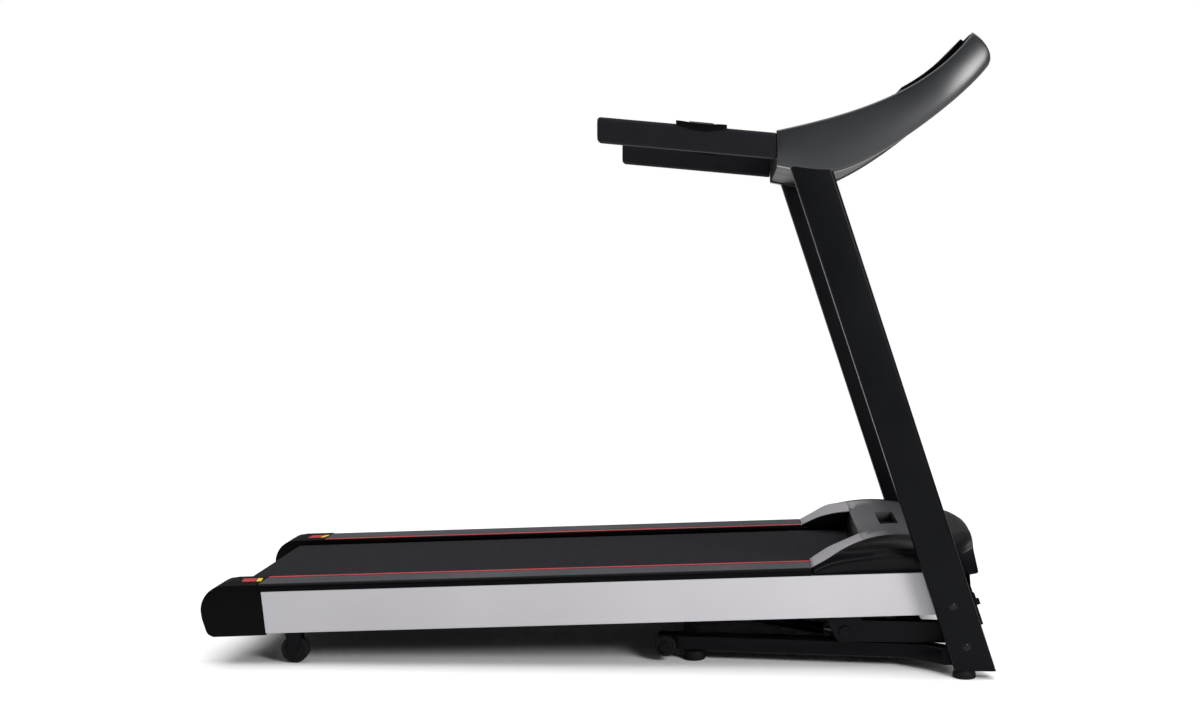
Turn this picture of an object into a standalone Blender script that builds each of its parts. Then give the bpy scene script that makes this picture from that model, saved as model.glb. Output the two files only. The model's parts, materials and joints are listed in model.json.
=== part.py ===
"""A folding motorised treadmill, built from its separate pieces. Metres, +Z up, +X towards the console."""

from math import asin, atan2, cos, hypot, pi, radians, sin, tan

import bmesh
import bpy
from mathutils import Matrix, Vector

# ---- driving sizes -------------------------------------------------------------------------
GAP = 0.0003  # between pieces that touch
PLAY = 0.0006  # between pieces that slide or turn in each other

HOOD_U = 1.2975  # rear tips of the motor hood's arms, along the deck from its rear end
HOOD_X = 0.463  # the same tips, along X
HOOD_LIFT = 0.1111  # height of the deck's underside below them
DECK_SLOPE = radians(2.2)
REAR_END = HOOD_X - HOOD_U  # rear end of the deck along X
DECK_LIFT = HOOD_LIFT - HOOD_U * sin(DECK_SLOPE)  # height of the deck's underside at its rear end
DECK_HALF = 0.320  # to the outside of a side cover
COVER_HEIGHT = 0.089
COVER_WALL = 0.0025
COVER_LIP = 0.015
STEP_THICK = 0.0155  # foot rail, above the side cover
RAIL_WIDTH = 0.050  # steel side rail inside the cover
RAIL_WALL = 0.002
CAP_LENGTH = 0.127
BELT_WIDTH = 0.430
STEP_WIDTH = DECK_HALF - BELT_WIDTH / 2 - 0.010  # a foot rail, out from beside the belt
CAP_WIDTH = STEP_WIDTH + 0.004
BELT_THICK = 0.002
BELT_TOP = 0.0948  # above the deck's underside
BOARD_THICK = 0.018
ROLLER_RADIUS = 0.0225
AXLE_RADIUS = 0.006
REAR_ROLLER_U = 0.075  # roller axis, along the deck from its rear end
FRONT_ROLLER_U = HOOD_U + 0.1325
FRONT_PULLEY_RADIUS = 0.034
MOTOR_W = 0.082
MOTOR_U = FRONT_ROLLER_U + 0.118
MOTOR_RADIUS = 0.050
MOTOR_LENGTH = 0.150
MOTOR_PULLEY_RADIUS = 0.017
HOOD_WALL = 0.003

UPRIGHT_DEPTH = 0.080
UPRIGHT_WIDTH = 0.040
UPRIGHT_WALL = 0.002
UPRIGHT_OUT = DECK_HALF + 0.050  # outer face
UPRIGHT_FRONT = 0.8342  # front edge at the foot
UPRIGHT_BASE = 0.0184
UPRIGHT_TOP = 1.056
LEAN = radians(18.4)
UPPER_BOLT = (0.7443, 0.1523)

FOLD_AXIS = Vector((0.7725, 0, 0.0684))
TILT_AXIS = Vector((0.529, 0, 0.081))
SHAFT_RADIUS = 0.0125
ARM_LOW = 0.0575  # underside of the lift frame's arms
ARM_HEIGHT = 0.0425
ARM_END = 0.0235  # round end at the tilt axis
ARM_WIDTH = 0.025
ARM_Y = DECK_HALF - 0.0395
PIN_RADIUS = 0.008
BRACKET_THICK = 0.006

BASE_TUBE = 0.036  # width and height of the base's tubes
BASE_LOW = 0.0195
BASE_REAR_X = 0.135
BASE_REAR_Y = DECK_HALF - 0.107
FLARE_X = 0.660
FLARE_Y = DECK_HALF - 0.058
REAR_CROSS_X = 0.200
MID_CROSS_X = 0.556
FRONT_CROSS_X = 0.700
FOOT_RADIUS = 0.024
REAR_FOOT_X = 0.211
FRONT_FOOT_X = 0.7715
TRANSPORT_X = 0.150
TRANSPORT_Z = 0.0345
TRANSPORT_RADIUS = 0.0225
DECK_WHEEL_X = REAR_END + 0.1945
DECK_WHEEL_RADIUS = 0.0292
DECK_WHEEL_Y = DECK_HALF - 0.034
WHEEL_WIDTH = 0.022

STRUT_Y = -0.130
STRUT_BASE = Vector((0.5225, STRUT_Y, 0.042))
STRUT_DECK = Vector((0.200, STRUT_Y, 0.098))
STRUT_RADIUS = 0.014
STRUT_ROD_RADIUS = 0.005
SCREW_SHARE = 0.46  # where the incline screw pushes, from the fold axis towards the tilt axis
SCREW_Y = -0.045

HANDLE_REAR_X = 0.0165
HANDLE_REAR_Z = 1.123  # handle's middle line at its rear end
HANDLE_SLOPE = radians(5.3)
HANDLE_HEIGHT = 0.052
HANDLE_OUT = UPRIGHT_OUT - 0.001
HANDLE_IN = HANDLE_OUT - 0.041
HANDLE_TUBE = 0.024
CONSOLE_REAR_X = 0.381
SIDE_OUT = UPRIGHT_OUT + 0.004  # outer face of the console's side covers
SIDE_IN = SIDE_OUT - 0.0475
SIDE_WALL = 0.0025
PANEL_THICK = 0.004
# Bezier edges of the console seen from the side, as (x, z)
TOP_EDGE = ((0.3805, 1.1198), (0.5333, 1.1519), (0.6849, 1.1949), (0.7731, 1.3157))
LOW_EDGE = ((0.8045, 1.2480), (0.7468, 1.1730), (0.5480, 1.0264), (0.4752, 1.0348))
HEEL_EDGE = ((0.4752, 1.0348), (0.4430, 1.0368), (0.4130, 1.0430), (0.3815, 1.0495))
NOSE_EDGE = ((0.7731, 1.3157), (0.7960, 1.3010), (0.8190, 1.2700), (0.8045, 1.2480))

RAIL_OUT = DECK_HALF - COVER_WALL - 0.0010
RAIL_IN = RAIL_OUT - RAIL_WIDTH
RAIL_LOW = 0.002 + COVER_WALL + GAP
RAIL_TOP = 0.002 + COVER_HEIGHT - COVER_WALL - GAP
STEP_LOW = 0.002 + COVER_HEIGHT + GAP
STEP_TOP = STEP_LOW + STEP_THICK
BOARD_TOP = BELT_TOP - BELT_THICK - GAP
ROLLER_W = BELT_TOP - BELT_THICK - GAP - ROLLER_RADIUS
CAP_INNER = DECK_HALF + 0.001 - CAP_WIDTH

# ---- scene, materials ----------------------------------------------------------------------
for old in list(bpy.data.objects):
    bpy.data.objects.remove(old)
PARTS = bpy.data.collections.new("treadmill")
CUTTERS = bpy.data.collections.new("cutters")
bpy.context.scene.collection.children.link(PARTS)
bpy.context.scene.collection.children.link(CUTTERS)

LOOKS = {
    "black_paint": ((0.012, 0.013, 0.016), 0.42, 0.0),
    "silver_cover": ((0.68, 0.67, 0.71), 0.35, 0.4),
    "dark_plastic": ((0.018, 0.019, 0.021), 0.5, 0.0),
    "gray_plastic": ((0.10, 0.10, 0.105), 0.5, 0.0),
    "console_plastic": ((0.05, 0.052, 0.056), 0.38, 0.0),
    "foam": ((0.015, 0.015, 0.017), 0.9, 0.0),
    "rubber": ((0.012, 0.012, 0.012), 0.8, 0.0),
    "belt": ((0.020, 0.020, 0.022), 0.85, 0.0),
    "steel": ((0.55, 0.55, 0.56), 0.3, 1.0),
    "wood": ((0.30, 0.20, 0.12), 0.6, 0.0),
    "screen": ((0.01, 0.01, 0.012), 0.1, 0.0),
    "red_plastic": ((0.55, 0.02, 0.02), 0.4, 0.0),
    "green_plastic": ((0.03, 0.30, 0.06), 0.4, 0.0),
}


def look(name):
    """The Principled material of this name, made the first time."""
    found = bpy.data.materials.get(name)
    if found:
        return found
    color, roughness, metallic = LOOKS[name]
    made = bpy.data.materials.new(name)
    made.use_nodes = True
    shader = made.node_tree.nodes["Principled BSDF"]
    shader.inputs["Base Color"].default_value = (*color, 1)
    shader.inputs["Roughness"].default_value = roughness
    shader.inputs["Metallic"].default_value = metallic
    return made


# ---- shape helpers -------------------------------------------------------------------------
def place(name, mesh, material, parent=None, cutter=False):
    """An object for this mesh, in the parts or, as a helper, among the cutters."""
    obj = bpy.data.objects.new(name, mesh)
    (CUTTERS if cutter else PARTS).objects.link(obj)
    obj.parent = parent
    if material:
        mesh.materials.append(look(material))
    if cutter:
        obj.hide_render = True
        obj.display_type = "WIRE"
    else:
        mesh.shade_smooth()
        mesh.set_sharp_from_angle(angle=radians(35))
    return obj


def empty(name, at, parent=None, turn=0.0):
    """An axis to hang moving pieces on, at a world place, turned about Y."""
    obj = bpy.data.objects.new(name, None)
    PARTS.objects.link(obj)
    obj.parent = parent
    obj.location = Vector(at) - (Vector(parent["world"]) if parent else Vector())
    obj.rotation_euler = (0, turn, 0)
    obj["world"] = Vector(at)
    return obj


def box_mesh(low, high):
    """A box between two corners."""
    low, high = Vector(low), Vector(high)
    shape = bmesh.new()
    bmesh.ops.create_cube(shape, size=1.0)
    bmesh.ops.scale(shape, vec=high - low, verts=shape.verts)
    bmesh.ops.translate(shape, vec=(low + high) / 2, verts=shape.verts)
    mesh = bpy.data.meshes.new("box")
    shape.to_mesh(mesh)
    return mesh


def box(name, low, high, material, parent=None, bevel=0.0, cutter=False):
    obj = place(name, box_mesh(low, high), material, parent, cutter)
    if bevel:
        edges = obj.modifiers.new("edges", "BEVEL")
        edges.width = bevel
        edges.segments = 2
    return obj


def rod_mesh(start, end, radius, tip=None, sides=24):
    """A capped cylinder, or a cone where tip is given, between two points."""
    start, end = Vector(start), Vector(end)
    shape = bmesh.new()
    bmesh.ops.create_cone(
        shape,
        cap_ends=True,
        segments=sides,
        radius1=radius,
        radius2=radius if tip is None else tip,
        depth=(end - start).length,
    )
    turn = (end - start).to_track_quat("Z", "Y").to_matrix().to_4x4()
    bmesh.ops.transform(shape, matrix=Matrix.Translation((start + end) / 2) @ turn, verts=shape.verts)
    mesh = bpy.data.meshes.new("rod")
    shape.to_mesh(mesh)
    return mesh


def rod(name, start, end, radius, material, parent=None, tip=None, sides=24, cutter=False):
    return place(name, rod_mesh(start, end, radius, tip, sides), material, parent, cutter)


def slab_mesh(outlines, y_low, y_high):
    """Closed (x, z) outlines filled and made y_high - y_low thick; later outlines are holes."""
    curve = bpy.data.curves.new("outline", "CURVE")
    curve.dimensions = "2D"
    curve.fill_mode = "BOTH"
    curve.extrude = (y_high - y_low) / 2
    for outline in outlines:
        spline = curve.splines.new("POLY")
        spline.points.add(len(outline) - 1)
        for point, (x, z) in zip(spline.points, outline):
            point.co = (x, z, 0, 1)
        spline.use_cyclic_u = True
    helper = bpy.data.objects.new("outline", curve)
    CUTTERS.objects.link(helper)
    graph = bpy.context.evaluated_depsgraph_get()
    mesh = bpy.data.meshes.new_from_object(helper.evaluated_get(graph))
    bpy.data.objects.remove(helper)
    shape = bmesh.new()
    shape.from_mesh(mesh)
    bmesh.ops.remove_doubles(shape, verts=shape.verts, dist=0.00001)
    stand = Matrix.Translation((0, (y_low + y_high) / 2, 0)) @ Matrix.Rotation(pi / 2, 4, "X")
    bmesh.ops.transform(shape, matrix=stand, verts=shape.verts)
    bmesh.ops.recalc_face_normals(shape, faces=shape.faces)
    shape.to_mesh(mesh)
    return mesh


def slab(name, outlines, y_low, y_high, material, parent=None, cutter=False):
    return place(name, slab_mesh(outlines, y_low, y_high), material, parent, cutter)


def loft_mesh(rings, closed=True):
    """Skin over rings of equal length, capped at both ends when closed."""
    shape = bmesh.new()
    rows = [[shape.verts.new(point) for point in ring] for ring in rings]
    for before, after in zip(rows, rows[1:]):
        for i in range(len(before)):
            j = (i + 1) % len(before)
            shape.faces.new((before[i], before[j], after[j], after[i]))
    if closed:
        shape.faces.new(rows[0][::-1])
        shape.faces.new(rows[-1])
    bmesh.ops.recalc_face_normals(shape, faces=shape.faces)
    mesh = bpy.data.meshes.new("loft")
    shape.to_mesh(mesh)
    return mesh


def rounded(width, height, radius):
    """A rectangle's outline with its corners cut, centred."""
    a, b = width / 2, height / 2
    corners = []
    for sx, sy in ((1, 1), (-1, 1), (-1, -1), (1, -1)):
        ends = [(sx * a, sy * (b - radius)), (sx * (a - radius), sy * b)]
        corners += ends if sx * sy > 0 else ends[::-1]
    return corners


def hollow(obj, wall):
    """Gives an open tube its wall, inwards."""
    skin = obj.modifiers.new("wall", "SOLIDIFY")
    skin.thickness = wall
    skin.offset = -1
    skin.use_even_offset = True
    return obj


def boolean(obj, other, operation):
    step = obj.modifiers.new(operation.lower(), "BOOLEAN")
    step.operation = operation
    step.object = other
    return obj


def cut(obj, *cutters):
    for cutter in cutters:
        boolean(obj, cutter, "DIFFERENCE")
    return obj


def weld(obj, *pieces):
    for piece in pieces:
        boolean(obj, piece, "UNION")
    return obj


def bezier(points, t):
    s = 1 - t
    weights = (s**3, 3 * s * s * t, 3 * s * t * t, t**3)
    return Vector((sum(w * p[0] for w, p in zip(weights, points)), sum(w * p[1] for w, p in zip(weights, points))))


def slope(points, t):
    """Unit direction of a Bezier edge."""
    step = 0.001
    return (bezier(points, t + step) - bezier(points, t - step)).normalized()


def along(points, start, end, off, count):
    """Points beside a Bezier edge, off to its left."""
    found = []
    for i in range(count + 1):
        t = start + (end - start) * i / count
        way = slope(points, t)
        found.append(tuple(bezier(points, t) + off * Vector((-way.y, way.x))))
    return found


def band(points, start, end, low, high, count):
    """A closed strip between two offsets of a Bezier edge."""
    return along(points, start, end, low, count) + along(points, start, end, high, count)[::-1]


def arc(centre, radius, start, end, count):
    """Points on a circle from one angle to another, in degrees."""
    x, z = centre
    angles = [radians(start + (end - start) * i / count) for i in range(count + 1)]
    return [(x + radius * cos(a), z + radius * sin(a)) for a in angles]


SIDES = (("left", 1), ("right", -1))


def between(side, near, far):
    """Low and high Y of a piece that lies from near to far out on one side."""
    return (near, far) if side > 0 else (-far, -near)


# ---- axes that pieces hang on ---------------------------------------------------------------
FOLD = empty("fold_axis", FOLD_AXIS)
LIFT = empty("lift_axis", FOLD_AXIS, FOLD)
TILT = empty("tilt_axis", TILT_AXIS, LIFT)
DECK = empty("deck_datum", (REAR_END, 0, DECK_LIFT), TILT, -DECK_SLOPE)


def to_deck(point):
    """A world (x, z) as distances along and above the deck's underside."""
    x, z = point[0] - REAR_END, point[-1] - DECK_LIFT
    return (x * cos(DECK_SLOPE) + z * sin(DECK_SLOPE), z * cos(DECK_SLOPE) - x * sin(DECK_SLOPE))


def to_world(u, y, w):
    """A place on the deck as a world point."""
    x = u * cos(DECK_SLOPE) - w * sin(DECK_SLOPE)
    z = u * sin(DECK_SLOPE) + w * cos(DECK_SLOPE)
    return Vector((REAR_END + x, y, DECK_LIFT + z))


def deck_axis(name, u, y, w):
    """An empty on an axis of the deck, in the deck's own directions."""
    obj = bpy.data.objects.new(name, None)
    PARTS.objects.link(obj)
    obj.parent = DECK
    obj.location = (u, y, w)
    return obj


# ---- base ----------------------------------------------------------------------------------
def base_tube_rings(side, half, inset):
    """Stations of a base tube: straight, slightly splayed, then flared out to its upright."""
    end_y = UPRIGHT_OUT - UPRIGHT_WIDTH - GAP
    end_x = FLARE_X + (end_y - FLARE_Y) * 1.5
    route = [(BASE_REAR_X, BASE_REAR_Y), (FLARE_X, FLARE_Y), (end_x, end_y)]
    middle = BASE_LOW + BASE_TUBE / 2
    rings = []
    for i, (x, y) in enumerate(route):
        before = Vector(route[max(i - 1, 0)])
        after = Vector(route[min(i + 1, 2)])
        way = (after - before).normalized()
        across = Vector((-way.y, way.x))
        if i == 2:
            across = Vector((-1, 0)) / max(way.y, 0.3)
        outline = rounded(2 * half, 2 * half, inset)
        rings.append([(x + across.x * a, side * (y + across.y * a), middle + b) for a, b in outline])
    return rings


def build_base():
    half = BASE_TUBE / 2
    tubes = [
        place(f"base_tube_{n}", loft_mesh(base_tube_rings(s, half, 0.004)), None, None, n != "left")
        for n, s in SIDES
    ]
    frame = tubes[0]
    frame.name = "base_frame"
    frame.data.materials.append(look("black_paint"))
    pieces = [tubes[1]]
    low, high = BASE_LOW + 0.002, BASE_LOW + BASE_TUBE - 0.002
    for x, reach in ((REAR_CROSS_X, BASE_REAR_Y), (MID_CROSS_X, FLARE_Y - 0.017), (FRONT_CROSS_X, FLARE_Y + 0.008)):
        top = high - 0.006 if x == MID_CROSS_X else high
        pieces.append(box("cross", (x - 0.016, -reach, low), (x + 0.016, reach, top), None, cutter=True))
    for y in (STRUT_Y - 0.016, STRUT_Y + 0.010):
        x, z = STRUT_BASE.x, STRUT_BASE.z
        ear = box("ear", (x - 0.012, y, z - 0.013), (MID_CROSS_X, y + 0.006, z + 0.010), None, cutter=True)
        pieces.append(ear)
    ends = [(STRUT_BASE.x, STRUT_Y - 0.018, STRUT_BASE.z), (STRUT_BASE.x, STRUT_Y + 0.018, STRUT_BASE.z)]
    pieces.append(rod("strut_pin", *ends, 0.004, None, cutter=True, sides=12))
    for _, s in SIDES:
        start = (TRANSPORT_X, s * BASE_REAR_Y, TRANSPORT_Z)
        end = (TRANSPORT_X, s * (BASE_REAR_Y + half + WHEEL_WIDTH + 0.012), TRANSPORT_Z)
        pieces.append(rod("wheel_axle", start, end, AXLE_RADIUS, None, cutter=True, sides=16))
        head = (TRANSPORT_X, end[1] + s * 0.003, TRANSPORT_Z)
        near = (TRANSPORT_X, end[1] - s * 0.002, TRANSPORT_Z)
        pieces.append(rod("wheel_cap", near, head, 0.010, None, cutter=True, sides=16))
    weld(frame, *pieces)


def wheel(name, x, y, z, radius, bore, material="rubber"):
    """A small wheel with a bore, turned about its own axle."""
    half = WHEEL_WIDTH / 2
    profile = [(radius - 0.003, half), (radius, half - 0.003), (radius, -half + 0.003), (radius - 0.003, -half)]
    profile += [(bore, -half), (bore, half)]
    shape = bmesh.new()
    rim = [shape.verts.new((r, 0, h)) for r, h in profile]
    for i in range(len(rim)):
        shape.edges.new((rim[i], rim[(i + 1) % len(rim)]))
    mesh = bpy.data.meshes.new(name)
    shape.to_mesh(mesh)
    obj = place(name, mesh, material)
    spin = obj.modifiers.new("turned", "SCREW")
    spin.steps = spin.render_steps = 28
    spin.use_merge_vertices = True
    spin.merge_threshold = 0.00001
    obj.location = (x, y, z)
    obj.rotation_euler = (pi / 2, 0, 0)
    return obj


def build_feet_and_wheels():
    for name, s in SIDES:
        rear_y = BASE_REAR_Y + (FLARE_Y - BASE_REAR_Y) * (REAR_FOOT_X - BASE_REAR_X) / (FLARE_X - BASE_REAR_X)
        for place_name, x, y, top in (
            ("rear_foot", REAR_FOOT_X, s * rear_y, BASE_LOW - GAP),
            ("front_foot", FRONT_FOOT_X, s * (UPRIGHT_OUT - UPRIGHT_WIDTH / 2 - 0.002), UPRIGHT_BASE - GAP),
        ):
            rod(f"{place_name}_{name}", (x, y, 0), (x, y, top), FOOT_RADIUS, "rubber", tip=FOOT_RADIUS - 0.003)
        y = s * (BASE_REAR_Y + BASE_TUBE / 2 + 0.0035 + WHEEL_WIDTH / 2)
        wheel(f"transport_wheel_{name}", TRANSPORT_X, y, TRANSPORT_Z, TRANSPORT_RADIUS, AXLE_RADIUS + PLAY)


def build_uprights():
    wide = UPRIGHT_DEPTH / cos(LEAN)
    for name, s in SIDES:
        mesh_rings = []
        for z in (UPRIGHT_BASE, UPRIGHT_TOP):
            x = UPRIGHT_FRONT - wide / 2 - (z - UPRIGHT_BASE) * tan(LEAN)
            y = s * (UPRIGHT_OUT - UPRIGHT_WIDTH / 2)
            outline = rounded(wide, UPRIGHT_WIDTH, 0.006)
            mesh_rings.append([(x + a, y + b, z) for a, b in outline])
        post = place(f"upright_{name}", loft_mesh(mesh_rings, closed=False), "black_paint")
        hollow(post, UPRIGHT_WALL)
        inner, outer = UPRIGHT_OUT - UPRIGHT_WIDTH - 0.004, UPRIGHT_OUT + 0.004
        for bolt, x, z in (("pivot_bolt", FOLD_AXIS.x, FOLD_AXIS.z), ("upright_bolt", *UPPER_BOLT)):
            hole = rod("hole", (x, s * inner, z), (x, s * outer, z), 0.0055, None, cutter=True, sides=12)
            cut(post, hole)
            shank = rod(
                f"{bolt}_{name}", (x, s * (UPRIGHT_OUT - UPRIGHT_WIDTH + 0.001), z), (x, s * outer, z),
                0.005, "steel", sides=12,
            )
            head = rod(
                "head", (x, s * (UPRIGHT_OUT + GAP), z), (x, s * (UPRIGHT_OUT + 0.003), z),
                0.0085, None, cutter=True, sides=16,
            )
            weld(shank, head)


# ---- handles and console -------------------------------------------------------------------
def handle_line(x):
    """Height of the handles' middle line."""
    return HANDLE_REAR_Z - (x - HANDLE_REAR_X) * tan(HANDLE_SLOPE)


def sloped_box(x0, x1, y0, y1, half, lift=0.0):
    """A bar that follows the handles' slope."""
    rings = []
    for x in (x0, x1):
        z = handle_line(x) + lift
        rings.append([(x, y0, z - half), (x, y1, z - half), (x, y1, z + half), (x, y0, z + half)])
    return loft_mesh(rings)


POD_X = (0.177, 0.280)
POD_DEPTH = 0.012
TUBE_END_X = 0.470
CROSS_TUBE_HALF = 0.014


def pod_outline(grow):
    """Side outline of a key pod: a shallow bowl let into the grip, with a flat top."""
    x0, x1 = POD_X[0] - grow, POD_X[1] + grow
    middle = (x0 + x1) / 2
    top = HANDLE_HEIGHT / 2
    half = (x1 - x0) / 2
    depth = POD_DEPTH + grow
    radius = (half * half + depth * depth) / (2 * depth)
    reach = atan2(half, radius - depth)
    points = []
    for i in range(13):
        a = -reach + 2 * reach * i / 12
        x = middle + radius * sin(a)
        points.append((x, handle_line(x) + top - depth + radius - radius * cos(a)))
    over = 0.0065 + (0.02 if grow else 0)
    return points + [(x1, handle_line(x1) + top + over), (x0, handle_line(x0) + top + over)]


def build_handles():
    half = HANDLE_TUBE / 2
    middle = (HANDLE_IN + HANDLE_OUT) / 2
    x, z = TUBE_END_X, handle_line(TUBE_END_X)
    frame = box("handlebar_frame", (x - CROSS_TUBE_HALF, -middle, z - 0.0115), (x + CROSS_TUBE_HALF, middle, z + 0.0115), "black_paint")
    pieces = []
    for name, s in SIDES:
        y0, y1 = between(s, middle - half, middle + half)
        tube = place("tube", sloped_box(HANDLE_REAR_X + 0.02, TUBE_END_X + 0.01, y0, y1, half), None, cutter=True)
        stub = place("stub", upright_plug(s, 0.0009), None, cutter=True)
        pieces += [tube, stub]
        g0, g1 = between(s, HANDLE_IN, HANDLE_OUT)
        grip = place(
            f"grip_{name}", sloped_box(HANDLE_REAR_X, CONSOLE_REAR_X - 0.0006, g0, g1, HANDLE_HEIGHT / 2), "foam"
        )
        soft = grip.modifiers.new("soft", "BEVEL")
        soft.width = 0.007
        soft.segments = 3
        y0, y1 = between(s, middle - half - GAP, middle + half + GAP)
        bore = place("bore", sloped_box(HANDLE_REAR_X + 0.0195, CONSOLE_REAR_X + 0.02, y0, y1, half + GAP), None, cutter=True)
        nest = slab("nest", [pod_outline(GAP)], min(g0, g1) - 0.004, max(g0, g1) + 0.004, None, cutter=True)
        cut(grip, bore, nest)
        pod = slab(f"key_pod_{name}", [pod_outline(0.0)], g0 - 0.0012, g1 + 0.0012, "dark_plastic")
        build_pod_key(pod, name, middle * s)
    weld(frame, *pieces)


def upright_plug(side, clear):
    """A short bar that fills the top of an upright's hollow and reaches the handle tube."""
    long = UPRIGHT_DEPTH / cos(LEAN) / 2 - UPRIGHT_WALL / cos(LEAN) - clear - 0.012
    wide = UPRIGHT_WIDTH / 2 - UPRIGHT_WALL - clear
    y = side * (UPRIGHT_OUT - UPRIGHT_WIDTH / 2)
    rings = []
    for z in (UPRIGHT_TOP - 0.06, UPRIGHT_TOP + 0.014):
        x = UPRIGHT_FRONT - UPRIGHT_DEPTH / cos(LEAN) / 2 - (z - UPRIGHT_BASE) * tan(LEAN)
        rings.append([(x - long, y - wide, z), (x + long, y - wide, z), (x + long, y + wide, z), (x - long, y + wide, z)])
    return loft_mesh(rings)


def build_pod_key(pod, name, y):
    """A sprung two-way key let into the pod's top."""
    x = (POD_X[0] + POD_X[1]) / 2
    top = handle_line(x) + HANDLE_HEIGHT / 2 + 0.0065
    well = box("well", (-0.0256, -0.0106, -0.0060), (0.0256, 0.0106, 0.02), None, cutter=True)
    key = box(f"{'speed' if name == 'left' else 'incline'}_key", (-0.025, -0.010, -0.0030), (0.025, 0.010, 0.0015), "gray_plastic", bevel=0.001)
    for obj in (well, key):
        obj.location = (x, y, top)
        obj.rotation_euler = (0, HANDLE_SLOPE, 0)
    cut(pod, well)


FACE_RANGE = (0.015, 0.985)
DISPLAY_RANGE = (0.60, 0.97)
BUTTONS = (("start_button", 0.40, 0.075, "green_plastic"), ("stop_button", 0.40, -0.075, "red_plastic"))


def face_point(t, off=0.0):
    way = slope(TOP_EDGE, t)
    return bezier(TOP_EDGE, t) + off * Vector((-way.y, way.x))


def on_face(t, y, near, far):
    """Two world points on the console's face normal at t, near and far from its top."""
    a, b = face_point(t, near), face_point(t, far)
    return (a.x, y, a.y), (b.x, y, b.y)


def side_outline(inset):
    """Outline of a console side cover, or of the pocket inside it."""
    count = 14
    points = along(HEEL_EDGE, 1.0, 0.0, -inset, 6)
    points += along(LOW_EDGE, 1.0, 0.0, -inset, count)[1:]
    points += along(NOSE_EDGE, 0.95, 0.05, -inset, 6)
    points += along(TOP_EDGE, 1.0, 0.0, -inset, count)
    if inset:
        points = [(max(x, CONSOLE_REAR_X + inset), z) for x, z in points]
    return points


def console_back_line(off):
    """From the nose down the console's underside, round its heel and up its rear end."""
    line = along(LOW_EDGE, 0.02, 1.0, off, 18) + along(HEEL_EDGE, 0.1, 0.9, off, 5)
    rear = CONSOLE_REAR_X - off
    return line + [(rear, HEEL_EDGE[3][1] - off), (rear, face_point(FACE_RANGE[0], -PANEL_THICK).y - 0.004)]


def build_console():
    wide = UPRIGHT_DEPTH / cos(LEAN) / 2 + PLAY
    for name, s in SIDES:
        y0, y1 = between(s, SIDE_IN, SIDE_OUT)
        p0, p1 = between(s, SIDE_IN - 0.01, SIDE_OUT - SIDE_WALL)
        cover = slab(f"console_side_{name}", [side_outline(0.0)], y0, y1, "console_plastic")
        pocket = slab("pocket", [side_outline(0.003)], p0, p1, None, cutter=True)
        low = UPRIGHT_TOP - 0.06
        rings = []
        u0, u1 = between(s, SIDE_IN - 0.01, UPRIGHT_OUT + PLAY)
        for z in (low, UPRIGHT_TOP + 0.004):
            x = UPRIGHT_FRONT - UPRIGHT_DEPTH / cos(LEAN) / 2 - (z - UPRIGHT_BASE) * tan(LEAN)
            rings.append([(x - wide, u0, z), (x + wide, u0, z), (x + wide, u1, z), (x - wide, u1, z)])
        socket = place("socket", loft_mesh(rings), None, cutter=True)
        middle, half = (HANDLE_IN + HANDLE_OUT) / 2, HANDLE_TUBE / 2 + PLAY
        t0, t1 = between(s, middle - half, middle + half)
        entry = place("entry", sloped_box(CONSOLE_REAR_X - 0.02, CONSOLE_REAR_X + 0.03, t0, t1, half), None, cutter=True)
        cut(cover, pocket, socket, entry)
    inner = SIDE_IN - PLAY
    start, end = FACE_RANGE
    face = slab("console_face", [band(TOP_EDGE, start, end, -0.0015 - PANEL_THICK, -0.0015, 20)], -inner, inner, "console_plastic")
    for name, t, y, material in BUTTONS:
        cut(face, rod("hole", *on_face(t, y, -0.02, 0.02), 0.0146, None, cutter=True))
        rod(name, *on_face(t, y, -0.0055, 0.0015), 0.014, material)
    cut(face, rod("hole", *on_face(0.25, 0.0, -0.02, 0.02), 0.0095, None, cutter=True))
    key = rod("safety_key", *on_face(0.25, 0.0, -0.012, 0.008), 0.009, "red_plastic")
    weld(key, rod("tab", *on_face(0.25, 0.0, 0.0005, 0.006), 0.016, None, cutter=True))
    outer = console_back_line(-0.004)
    slab("console_back", [outer + console_back_line(-0.004 - PANEL_THICK)[::-1]], -inner, inner, "console_plastic")
    low, high = DISPLAY_RANGE
    housing = band(TOP_EDGE, low, high, -0.0015 + GAP, 0.0095, 12)
    slab("display_housing", [housing], 0.036 - inner, inner - 0.036, "dark_plastic")
    lens = band(TOP_EDGE, low + 0.06, high - 0.05, 0.0095 + GAP, 0.0115, 10)
    slab("display_lens", [lens], 0.086 - inner, inner - 0.086, "screen")


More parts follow.
